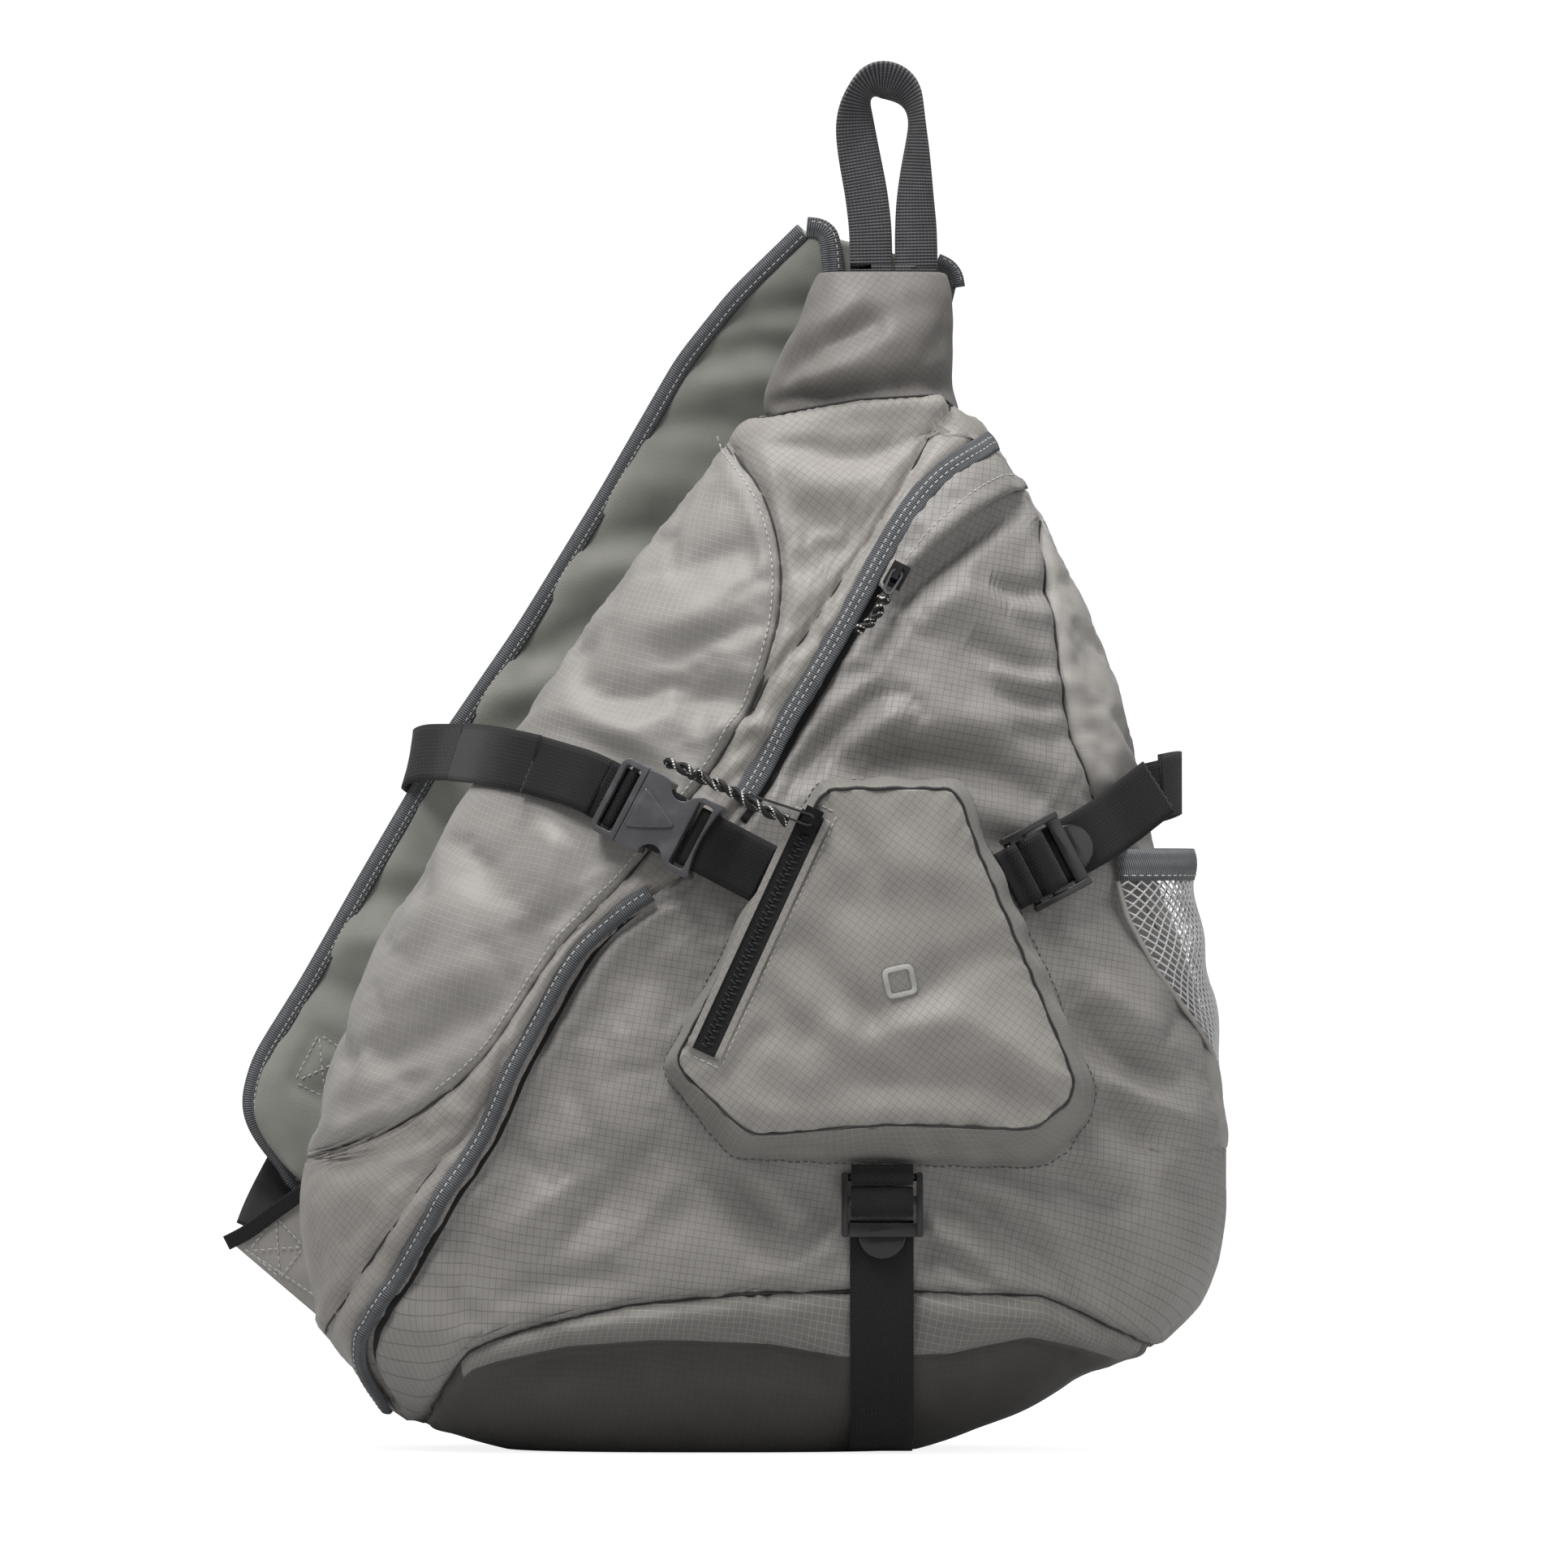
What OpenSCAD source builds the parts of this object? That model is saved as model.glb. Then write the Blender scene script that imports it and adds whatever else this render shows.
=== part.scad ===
// Sling bag: a teardrop pack that stands on its base, front towards -Y, with a padded
// shoulder strap behind it. Millimetres, +Z up, origin under the middle of the whole bag.

/* [Shell] */
// Thickness of the quilted shell panels
wall = 3; // [2:0.5:4]
// Thickness of the foam behind the back panel
back_foam_t = 5; // [3:0.5:8]
// How full the front of the bag is in section, 2 is an ellipse
front_fullness = 2.6; // [2.2:0.1:3.2]
// How flat the back of the bag is in section
back_fullness = 4; // [3:0.5:6]

/* [Webbing and binding] */
// Width of the compression webbing
webbing_w = 25; // [20:1:26]
// Thickness of all the webbing
webbing_t = 1.4; // [1:0.1:1.6]
// Width of the grab handle's webbing
handle_w = 17; // [15:1:19]
// Width of the ribbed binding beside the main zip
binding_w = 9; // [7:0.5:10]

/* [Shoulder strap] */
// Thickness of the padded strap
pad_t = 12; // [9:0.5:14]
// Thickness of the strap's two cloth layers
cover_t = 1.5; // [1:0.25:2]

/* [Front pocket] */
// Thickness of the pocket's cloth
pocket_wall = 2; // [1.5:0.5:3]
// Width of the pocket zip's tape
tape_w = 11; // [9:0.5:13]
// Width of the zip's chain
chain_w = 4; // [3:0.5:5]

/* [Buckles] */
// Width over the side-release buckle
buckle_w = 32; // [31:0.5:33]
// Thickness of the side-release buckle
buckle_t = 10; // [9.5:0.25:11]
// Length of the ladder lock's frame from anchor bar to end bar
lock_len = 21; // [20:0.5:23]
// Radius of the ladder lock's anchor bar
bar_r = 1.6; // [1.4:0.1:1.7]
// Clearance between a webbing loop and its bar
loop_gap = 0.4; // [0.3:0.05:0.5]

/* [Zip pulls] */
// Diameter of the pull cords
cord_d = 3; // [2.5:0.25:3.5]

/* [Hidden] */

$fn = 48;
taupe = [0.53, 0.5, 0.46];
slate = [0.42, 0.45, 0.46];
charcoal = [0.22, 0.22, 0.23];
black = [0.09, 0.09, 0.1];
lining = [0.5, 0.52, 0.48];
mesh_grey = [0.72, 0.73, 0.74];
thread = [0.8, 0.8, 0.8];

// The main shell at each height: left edge, right edge, front and back
SHELL = [
    [0, -88, 78, -34, 55], [4, -104, 92, -43, 57], [14, -130, 114, -53, 57],
    [26, -143, 141, -61, 57], [43, -156, 176, -68, 57], [60, -163, 190, -71, 57],
    [92, -167, 197, -74, 57], [130, -161, 197, -74, 57], [157, -154, 193, -73, 57],
    [180, -146, 185, -71, 57], [211, -131, 176, -68, 57], [243, -112, 168, -64, 57],
    [276, -90, 163, -57, 57], [305, -69, 156, -49, 57], [337, -48, 142, -39, 56],
    [366, -25, 127, -29, 54], [381, -14, 120, -23, 52], [397, 0, 110, -16, 50],
    [411, 12, 97, -10, 47]
];
// The head above the shell, in the same columns
HEAD = [
    [412, 15, 95, -9, 46], [418, 14, 91, -12, 46], [426, 18, 90, -11, 46],
    [434, 22, 91, -9, 45], [448, 29, 92, -4, 44], [460, 33, 91, 2, 42], [467, 36, 89, 7, 39]
];
// Seams in the front view, each a list of height and distance from the middle
ZIP_LINE = [
    [0, -128], [14, -128], [27, -140], [43, -146], [63, -133], [95, -114], [127, -94],
    [157, -81], [182, -68], [202, -56], [219, -33], [228, -15], [264, 12], [286, 22],
    [321, 44], [350, 60], [363, 67], [386, 83], [400, 107], [411, 118]
];
MOON_SEAM = [
    [119, -158], [123, -146], [134, -121], [146, -105], [158, -91], [173, -82],
    [200, -64], [225, -40], [250, -20], [271, -4], [292, 9], [305, 15], [324, 21],
    [344, 23], [357, 22], [374, 18], [389, 10], [399, -1], [411, -1]
];
GUSSET_SEAM = [
    [119, 197], [157, 191], [189, 182], [211, 170], [237, 160], [261, 148], [276, 140],
    [308, 134], [331, 131], [350, 128], [366, 125], [411, 125]
];
ROWS = [40, 60, 92, 119, 134, 157, 180, 201, 219, 228, 243, 264, 286, 305, 324, 344,
        366, 381, 397, 411];
BACK_LEFT = 205;
BACK_RIGHT = 335;

function part_of(table, column) = [for (row = table) [row[0], row[column]]];
function left_at(t, z) = lookup(z, part_of(t, 1));
function right_at(t, z) = lookup(z, part_of(t, 2));
function front_at(t, z) = lookup(z, part_of(t, 3));
function back_at(t, z) = lookup(z, part_of(t, 4));
function mid_x(t, z) = (left_at(t, z) + right_at(t, z)) / 2;
function half_x(t, z) = (right_at(t, z) - left_at(t, z)) / 2;
function mid_y(t, z) = back_at(t, z) - 0.45 * (back_at(t, z) - front_at(t, z));
function power(v, p) = sign(v) * pow(abs(v), p);

// A point of the section at height z. Angle 0 is the right edge, 90 the front, 180 the left
function skin(t, z, angle, inset = 0) =
    let (
        n = sin(angle) >= 0 ? front_fullness : back_fullness,
        depth = sin(angle) >= 0 ? mid_y(t, z) - front_at(t, z) : back_at(t, z) - mid_y(t, z)
    )
    [
        mid_x(t, z) + (half_x(t, z) - inset) * power(cos(angle), 2 / n),
        mid_y(t, z) - (depth - inset) * power(sin(angle), 2 / n),
        z
    ];
function angle_of(t, z, x) =
    let (share = max(-0.999, min(0.999, (x - mid_x(t, z)) / half_x(t, z))))
    acos(power(share, front_fullness / 2));

// Depth of the shell's front at a place in the front view, its slope and its normal
function front_y(x, z) =
    let (share = min(0.995, abs(x - mid_x(SHELL, z)) / half_x(SHELL, z)))
    mid_y(SHELL, z) - (mid_y(SHELL, z) - front_at(SHELL, z))
        * pow(1 - pow(share, front_fullness), 1 / front_fullness);
function unit(v) = v / norm(v);
function normal_at(x, z) = unit([
    (front_y(x + 2, z) - front_y(x - 2, z)) / 4, -1, (front_y(x, z + 4) - front_y(x, z - 4)) / 8
]);
function on_front(x, z, lift) = [x, front_y(x, z), z] + lift * normal_at(x, z);

// A closed solid between two grids of points with the same rows and columns
module thick_patch(outer, inner) {
    rows = len(outer);
    cols = len(outer[0]);
    count = rows * cols;
    function id(r, c, side) = side * count + r * cols + c;
    function quad(a, b, c, d) = [[a, b, c], [a, c, d]];
    polyhedron(
        points = [for (grid = [outer, inner]) for (row = grid) for (p = row) p],
        faces = [
            for (r = [0:rows - 2]) for (c = [0:cols - 2]) for (f = concat(
                quad(id(r, c, 0), id(r + 1, c, 0), id(r + 1, c + 1, 0), id(r, c + 1, 0)),
                quad(id(r, c, 1), id(r, c + 1, 1), id(r + 1, c + 1, 1), id(r + 1, c, 1))
            )) f,
            for (r = [0:rows - 2]) for (f = concat(
                quad(id(r, 0, 0), id(r, 0, 1), id(r + 1, 0, 1), id(r + 1, 0, 0)),
                quad(id(r, cols - 1, 0), id(r + 1, cols - 1, 0), id(r + 1, cols - 1, 1),
                     id(r, cols - 1, 1))
            )) f,
            for (c = [0:cols - 2]) for (f = concat(
                quad(id(0, c, 0), id(0, c + 1, 0), id(0, c + 1, 1), id(0, c, 1)),
                quad(id(rows - 1, c, 0), id(rows - 1, c, 1), id(rows - 1, c + 1, 1),
                     id(rows - 1, c + 1, 0))
            )) f
        ],
        convexity = 8
    );
}

// Part of the shell between two angles that may change with height
module panel(rows, from, to, columns, outer_inset = 0, thick = wall) {
    function grid(inset) = [
        for (z = rows) [
            for (c = [0:columns]) skin(SHELL, z, from(z) + (to(z) - from(z)) * c / columns, inset)
        ]
    ];
    thick_patch(grid(outer_inset + thick), grid(outer_inset));
}

// A closed solid through rings of points, flat at both ends, or joined into a hoop
module loft(rings, hoop = false) {
    around = len(rings[0]);
    last = len(rings) - 1;
    function id(r, i) = (r % (last + 1)) * around + i % around;
    ends = [
        [for (i = [0:around - 1]) i], [for (i = [around - 1:-1:0]) last * around + i]
    ];
    sides = [
        for (r = [0:hoop ? last : last - 1]) for (i = [0:around - 1]) for (f = [
            [id(r, i), id(r + 1, i), id(r, i + 1)],
            [id(r, i + 1), id(r + 1, i), id(r + 1, i + 1)]
        ]) f
    ];
    polyhedron(
        points = [for (ring = rings) for (p = ring) p],
        faces = hoop ? sides : concat(ends, sides),
        convexity = 8
    );
}

// A flat strip that follows points in space, with its width along the given directions
module ribbon(route, widths_along, width, thick) {
    last = len(route) - 1;
    function along(i) = unit(route[min(i + 1, last)] - route[max(i - 1, 0)]);
    function face(i) = unit(cross(along(i), widths_along[i]));
    function edge(i, side, lift) = route[i] + widths_along[i] * side * width / 2
        + face(i) * lift * thick / 2;
    loft([
        for (i = [0:last]) [edge(i, -1, -1), edge(i, 1, -1), edge(i, 1, 1), edge(i, -1, 1)]
    ]);
}
module fixed_ribbon(route, across, width, thick = webbing_t) {
    ribbon(route, [for (p = route) unit(across)], width, thick);
}

// A strip that lies on the shell's front along a line of [x, z] places
module front_strip(line, width, lift, thick) {
    route = [for (p = line) on_front(p[0], p[1], lift + thick / 2)];
    last = len(line) - 1;
    function along(i) = unit(route[min(i + 1, last)] - route[max(i - 1, 0)]);
    ribbon(route, [for (i = [0:last]) unit(cross(normal_at(line[i][0], line[i][1]), along(i)))],
           width, thick);
}

// Fine steps along a seam table between two heights
function seam_line(table, low, high, step, shift = 0) =
    [for (z = [low:step:high]) [lookup(z, table) + shift, z]];

// A round tube through the points of a route
module tube(route, diameter, sides = 8) {
    last = len(route) - 1;
    function along(i) = unit(route[min(i + 1, last)] - route[max(i - 1, 0)]);
    function first(i) = unit(cross(along(i), [0.1, -1, 0.2]));
    loft([
        for (i = [0:last]) [
            for (k = [0:sides - 1]) let (a = k * 360 / sides)
            route[i] + diameter / 2 * (cos(a) * first(i) + sin(a) * cross(along(i), first(i)))
        ]
    ]);
}

// Turns a flat drawing to stand in front of the bag: turn in the view, then yaw and pitch
module facing(at, turn, yaw = 0, pitch = 0) {
    translate(at) rotate([0, 0, yaw]) rotate([90 + pitch, 0, 0]) rotate([0, 0, turn]) children();
}
// Where a point on that drawing's own X axis, at a height above it, comes to
function facing_point(at, turn, yaw, pitch, x, height) =
    let (
        up = x * sin(turn) * cos(90 + pitch) - height * sin(90 + pitch),
        flat = [x * cos(turn), up, x * sin(turn) * sin(90 + pitch) + height * cos(90 + pitch)]
    )
    at + [flat[0] * cos(yaw) - flat[1] * sin(yaw), flat[0] * sin(yaw) + flat[1] * cos(yaw), flat[2]];
module slab(from, to) {
    translate(from) cube(to - from);
}

// ---- Shell ----

base_top = 40;
floor_t = 5;
channel_d = 2;
strap_x = 62;
base_angles = [for (a = [352.5:-7.5:0]) a];
module base_panel() {
    outer = [for (z = [0, 4, 14, 26, base_top]) [for (a = base_angles) skin(SHELL, z, a)]];
    inner = [for (z = [base_top, 26, 14, floor_t]) [for (a = base_angles) skin(SHELL, z, a, wall)]];
    color(taupe * 0.6) difference() {
        loft(concat(outer, inner));
        slab([strap_x - webbing_w / 2 - 1, -60, -1], [strap_x + webbing_w / 2 + 1, 34, channel_d]);
    }
}
function zip_angle(z) = angle_of(SHELL, z, lookup(z, ZIP_LINE));
function gusset_angle(z) = z < 157 ? 0 : angle_of(SHELL, z, lookup(z, GUSSET_SEAM));
function moon_angle(z) = z < 119 ? BACK_LEFT : angle_of(SHELL, z, lookup(z, MOON_SEAM));
module front_panel() {
    rows = [for (z = ROWS) if (z <= 397) z];
    color(taupe) panel(rows, function(z) gusset_angle(z), function(z) zip_angle(z), 10);
}
module side_panel() {
    color(taupe) panel(ROWS, function(z) zip_angle(z), function(z) moon_angle(z), 8);
}
module moon_panel() {
    rows = [for (z = ROWS) if (z >= 119) z];
    color(taupe) panel(rows, function(z) moon_angle(z), function(z) BACK_LEFT, 8);
}
module right_gusset() {
    rows = [for (z = ROWS) if (z <= 397) z];
    color(taupe) panel(rows, function(z) BACK_RIGHT - 360, function(z) gusset_angle(z), 6);
}
module back_panel() {
    color(lining) panel(ROWS, function(z) BACK_LEFT, function(z) BACK_RIGHT, 12);
}
module back_foam() {
    rows = [for (z = ROWS) if (z >= 60 && z <= 381) z];
    color(black) panel(rows, function(z) 215, function(z) 325, 8, wall + 0.5, back_foam_t);
}
module head_panel() {
    color(taupe) loft([for (row = HEAD) [for (a = [348:-12:0]) skin(HEAD, row[0], a)]]);
}

// ---- Main zip ----

strip_lift = 0.9;
module main_zip_tape() {
    color(black) front_strip(seam_line(ZIP_LINE, 272, 378, 10.6, 11), 8, strip_lift, 1);
}
module upper_binding() {
    color(slate) front_strip(seam_line(ZIP_LINE, 262, 396, 9.5), binding_w, strip_lift, 3);
}
module lower_binding() {
    color(slate) front_strip(seam_line(ZIP_LINE, 16, 219, 7), binding_w, strip_lift + 0.6, 4);
}
// The flap's edges in the front view, from its tip to the right edge
FLAP_INNER = [[77, 360], [82, 368], [88, 375], [95, 383], [103, 390]];
FLAP_OUTER = [[81, 357], [90, 362], [98, 368], [106, 374], [115, 380]];
flap_lift = 8;
module storm_flap() {
    rise = [for (i = [0:4]) [for (c = [0:3]) let (
        p = FLAP_INNER[i] + (FLAP_OUTER[i] - FLAP_INNER[i]) * c / 3
    ) [p[0], p[1], flap_lift]]];
    color(taupe) thick_patch(
        [for (row = rise) [for (p = row) on_front(p[0], p[1], p[2] + 1.5)]],
        [for (row = rise) [for (p = row) on_front(p[0], p[1], p[2])]]
    );
}

// A zip slider along its own X, with a raised bridge that points where the pull hangs
module slider(bridge_turn) {
    slab([-5, -3.6, 0], [5, 3.6, 3]);
    rotate([0, 0, bridge_turn]) difference() {
        slab([-3.4, -1.2, 2.5], [3.4, 1.2, 5.9]);
        slab([-2.2, -2, 3.2], [2.2, 2, 4.9]);
    }
}
// A bent wire pull that hangs on the slider's bridge and reaches along X
module wire_pull(length) {
    wire_d = 1;
    translate([0, 0, 4]) difference() {
        hull() {
            translate([0, 0, -wire_d / 2]) cylinder(d = 5.2, h = wire_d);
            translate([length, 0, -wire_d / 2]) cylinder(d = 4.4, h = wire_d);
        }
        hull() {
            translate([0, 0, -wire_d]) cylinder(d = 3.4, h = 2 * wire_d);
            translate([length, 0, -wire_d]) cylinder(d = 2.4, h = 2 * wire_d);
        }
    }
}

main_slider_at = [68, 345];
main_slider_turn = 61;
main_pull_turn = 242;
module at_main_slider(turn) {
    facing(on_front(main_slider_at[0], main_slider_at[1], 3), turn, 5, -22) children();
}
module main_zip_slider() {
    color(black) at_main_slider(main_slider_turn) slider(main_pull_turn - main_slider_turn);
}
module main_pull_wire() {
    color(black) at_main_slider(main_pull_turn) translate([1, 0, 0]) wire_pull(7);
}
MAIN_CORD = [[62.5, -47, 335], [61, -48, 332], [59, -49, 329], [56.5, -50, 327], [54, -51, 326]];
module main_pull_cord() {
    color(black) tube(MAIN_CORD, cord_d);
}

// ---- Front pocket ----

// Where the pocket's walls meet the bag, and the smaller outline of its face
POCKET_FOOT = [[38, 264], [93, 265], [104, 237], [124, 192], [144, 147], [145, 136], [125, 115],
               [65, 117], [4, 119], [-23, 153], [8, 209]];
POCKET_FACE = [[40, 262], [91, 262], [100, 236], [119, 192], [137, 149], [137, 142], [122, 129],
               [65, 131], [10, 127], [-19, 155], [10, 209]];
face_y = -93.5;
face_lean = 0.035;
function face_at(p, sink = 0) = [p[0], face_y + face_lean * (p[0] - 45) + sink, p[1]];
function foot_at(p) = on_front(p[0], p[1], 2 * strip_lift);
function shrink(list, by) = let (middle = [58, 190]) [for (p = list) p + by * unit(middle - p)];
module front_pocket_gusset() {
    inner_foot = shrink(POCKET_FOOT, pocket_wall);
    inner_face = shrink(POCKET_FACE, pocket_wall);
    color(taupe) loft([
        for (i = [0:len(POCKET_FOOT) - 1]) [
            foot_at(inner_foot[i]), foot_at(POCKET_FOOT[i]),
            face_at(POCKET_FACE[i], pocket_wall + 0.1), face_at(inner_face[i], pocket_wall + 0.1)
        ]
    ], hoop = true);
}
module front_pocket_face() {
    count = len(POCKET_FACE);
    color(taupe) polyhedron(
        points = concat(
            [for (p = POCKET_FACE) face_at(p)], [for (p = POCKET_FACE) face_at(p, pocket_wall)],
            [face_at([58, 190]), face_at([58, 190], pocket_wall)]
        ),
        faces = [for (i = [0:count - 1]) let (j = (i + 1) % count) for (f = [
            [2 * count, i, j], [2 * count + 1, count + j, count + i],
            [i, count + i, count + j], [i, count + j, j]
        ]) f],
        convexity = 4
    );
}
// The pocket zip runs between these places on the face
ZIP_TOP = [34, 250];
ZIP_FOOT = [-7, 161];
zip_turn = atan2(ZIP_TOP[1] - ZIP_FOOT[1], ZIP_TOP[0] - ZIP_FOOT[0]);
zip_len = norm(ZIP_TOP - ZIP_FOOT);
module on_pocket_zip(lift) {
    start = face_at(ZIP_FOOT) - [0, lift, 0];
    facing(start, zip_turn, atan(face_lean)) children();
}
module front_zip_tape() {
    color(black) on_pocket_zip(0.6) slab([-2, -tape_w / 2, 0], [zip_len + 3, tape_w / 2, 0.8]);
}
module front_zip_chain() {
    color(black) on_pocket_zip(1.45) slab([0, -chain_w / 2, 0], [zip_len - 6, chain_w / 2, 0.9]);
}
front_pull_turn = 161;
module at_front_slider(turn) {
    start = face_at(ZIP_FOOT) - [0, 2.6, 0];
    facing(start, zip_turn, atan(face_lean)) translate([zip_len, 0, 0])
        rotate([0, 0, turn - zip_turn]) children();
}
module front_zip_slider() {
    color(black) at_front_slider(zip_turn) slider(front_pull_turn - zip_turn);
}
module front_pull_wire() {
    color(black) at_front_slider(front_pull_turn) translate([1, 0, 0]) wire_pull(25);
}
FRONT_CORD = [[6, -100, 260], [4, -99, 261], [1, -98, 263], [-3, -96, 264], [-7, -94, 266],
              [-9, -93, 267]];
FRONT_KNOT = [-12, -92, 268];
CORD_END = [[-15, -91, 270], [-18, -90, 271], [-21, -89, 272]];
module front_pull_cord() {
    color(black) tube(FRONT_CORD, cord_d);
}
module front_pull_knot() {
    color(black) {
        translate(FRONT_KNOT) sphere(d = 2.2 * cord_d);
        tube(CORD_END, 1.6 * cord_d);
    }
}
patch_at = [72, 185];
module embroidered_patch() {
    color(thread) facing(face_at(patch_at) - [0, 0.3, 0], 12) linear_extrude(0.7) difference() {
        offset(3) square(9, center = true);
        offset(2) square(8, center = true);
    }
}

// ---- Mesh pocket on the right side ----

MESH_ROWS = [92, 110, 134, 157, 180, 205, 226];
// How far the mesh stands off the side at a height
function mesh_gap(z) =
    lookup(z, [[92, 1.3], [134, 1.6], [157, 4], [180, 8.3], [211, 11.5], [242, 16]]);
function mesh_front(z) = lookup(z, [[92, -2], [140, 0], [157, 7], [190, 28], [211, 33], [242, 34]]);
mesh_back = -22;
module mesh_skin(rows, stand, thick) {
    columns = 10;
    edge_gap = 1.3;
    function gap(z, c) =
        edge_gap + (mesh_gap(z) + stand - edge_gap) * pow(sin(180 * c / columns), 0.6);
    function grid(out) = [for (z = rows) [for (c = [0:columns])
        skin(SHELL, z, mesh_back + (mesh_front(z) - mesh_back) * c / columns, -gap(z, c) - out)
    ]];
    thick_patch(grid(0), grid(thick));
}
module mesh_pocket() {
    color(mesh_grey) mesh_skin(MESH_ROWS, 0, 1.2);
}
module mesh_pocket_trim() {
    color(slate) mesh_skin([226.2, 232, 238], 0, 2);
}

// ---- Grab handle ----

head_top = 467;
handle_y = 22;
HANDLE_ROUTE = [
    [58.5, 22, 472], [58.2, 22, 486], [56.5, 21.5, 500], [54, 21, 513], [52, 20.5, 525],
    [51.8, 20, 534], [53.2, 20, 540.5], [57, 20, 544.8], [63, 20, 546], [70, 20, 543.5],
    [75, 20, 538], [76.9, 20, 530], [76.8, 20.5, 519], [76.3, 21, 508], [76, 21.5, 497],
    [76.3, 22, 486], [76.5, 22, 472]
];
// How far the webbing has turned at each station, and how far its inner edge stands up
HANDLE_TURN = [0, 0, 4, 10, 22, 40, 62, 82, 90, 95, 99, 106, 120, 134, 148, 166, 180];
HANDLE_RISE = [0, 0, 0.06, 0.15, 0.15, 0, -0.35, -0.75, -0.9, -0.85, -0.7, -0.4, -0.05, 0.1, 0.1, 0, 0];
// The same stations with three more between each pair
function closer(list) = [
    for (i = [0:len(list) - 2]) for (k = [0:3]) list[i] + (list[i + 1] - list[i]) * k / 4,
    list[len(list) - 1]
];
function handle_across(i) = let (a = HANDLE_TURN[i], rise = HANDLE_RISE[i], flat = sqrt(1 - rise * rise))
    [cos(a) * flat, sin(a) * flat, rise];
module grab_handle() {
    color(charcoal) ribbon(closer(HANDLE_ROUTE),
        [for (v = closer([for (i = [0:len(HANDLE_TURN) - 1]) handle_across(i)])) unit(v)],
        handle_w, webbing_t);
}
module handle_anchor() {
    color(charcoal) for (x = [58.5, 76.5])
        slab([x - handle_w / 2, handle_y - webbing_t / 2, head_top + 0.1],
             [x + handle_w / 2, handle_y + webbing_t / 2, head_top + 3.4]);
}

// ---- Shoulder strap ----

// Stations down the strap: outer edge, inner edge and depth of its middle
STRAP = [
    [31, 486, 91, 470, 46], [4, 460, 82, 432, 54], [-17, 434, 64, 396, 63],
    [-49, 379, 23, 339, 74], [-81, 327, -12, 288, 80], [-114, 279, -46, 238, 82],
    [-146, 224, -78, 186, 82], [-168, 185, -100, 148, 82], [-188, 153, -120, 116, 82],
    [-193, 134, -134, 100, 82], [-187, 119, -152, 96, 82], [-178, 111, -166, 100, 82]
];
pad_columns = 8;
function pad_half(c) = max(1.6, pad_t / 2 * pow(1 - pow(abs(2 * c / pad_columns - 1), 3), 0.5));
function pad_point(s, c, depth) = let (share = c / pad_columns) [
    s[0] + (s[2] - s[0]) * share, s[4] + depth, s[1] + (s[3] - s[1]) * share
];
module pad_layer(front, back) {
    thick_patch(
        [for (s = STRAP) [for (c = [0:pad_columns]) pad_point(s, pad_columns - c, front(pad_columns - c))]],
        [for (s = STRAP) [for (c = [0:pad_columns]) pad_point(s, pad_columns - c, back(pad_columns - c))]]
    );
}
module strap_lining() {
    color(lining) pad_layer(function(c) -pad_half(c), function(c) -pad_half(c) + cover_t / 2);
}
module strap_foam() {
    color(black) pad_layer(function(c) -pad_half(c) + cover_t / 2, function(c) pad_half(c) - cover_t / 2);
}
module strap_cover() {
    color(taupe) pad_layer(function(c) pad_half(c) - cover_t / 2, function(c) pad_half(c));
}
module strap_binding() {
    rim = concat(
        [for (s = STRAP) [s[0], s[4], s[1]]],
        [for (i = [len(STRAP) - 1:-1:0]) [STRAP[i][2], STRAP[i][4], STRAP[i][3]]]
    );
    middle = [for (i = [0:len(rim) - 1]) let (s = STRAP[min(i, len(rim) - 1 - i)])
        [(s[0] + s[2]) / 2, s[4], (s[1] + s[3]) / 2]];
    // The two points at the rounded lower end also move past that end
    function past_end(i) = abs(i - len(STRAP) + 0.5) < 1 ? [-2.2, 0, -3] : [0, 0, 0];
    pushed = [for (i = [0:len(rim) - 1]) rim[i] + unit(rim[i] - middle[i]) * 2.6 + past_end(i)];
    color(slate) fixed_ribbon(pushed, [0, 1, 0], 6, 1.6);
}
module strap_wing() {
    color(taupe) translate([0, 61, 0]) rotate([90, 0, 0]) linear_extrude(2.5)
        polygon([[-199, 81], [-167, 104], [-140, 104], [-136, 47], [-159, 47]]);
}
STRAP_LOCK_AT = [-160, 98.6, 137];
strap_lock_turn = 118;
module strap_webbing() {
    color(charcoal) fixed_ribbon(
        [[-186, 63.5, 84], [-184, 72, 90], [-181, 84, 97], [-177, 92, 105], [-172.2, 95.1, 114],
         [-167.6, 95.6, 122.8]],
        [-0.88, 0, 0.47], webbing_w - 3
    );
}

// ---- Ladder locks ----

rail_w = 2.6;
inner_half = webbing_w / 2 + 0.9;
lock_t = 4.4;
// The frame lies along X with its anchor bar at the origin and a thumb tab at the far end
module ladder_lock() {
    for (side = [-1, 1])
        translate([0, side * (inner_half + rail_w / 2), 0])
            slab([-2.6, -rail_w / 2, -lock_t / 2], [lock_len + 2.5, rail_w / 2, lock_t / 2]);
    rotate([90, 0, 0]) cylinder(r = bar_r, h = 2 * inner_half + 1, center = true);
    slab([7.4, -inner_half - 0.5, -1.2], [10.8, inner_half + 0.5, 1.2]);
    slab([lock_len - 3, -inner_half - 0.5, -lock_t / 2], [lock_len + 2.5, inner_half + 0.5, 1]);
    translate([lock_len + 2, 0, -lock_t / 2]) linear_extrude(2) intersection() {
        circle(r = 9.5);
        translate([0, -10]) square([12, 20]);
    }
}
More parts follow.
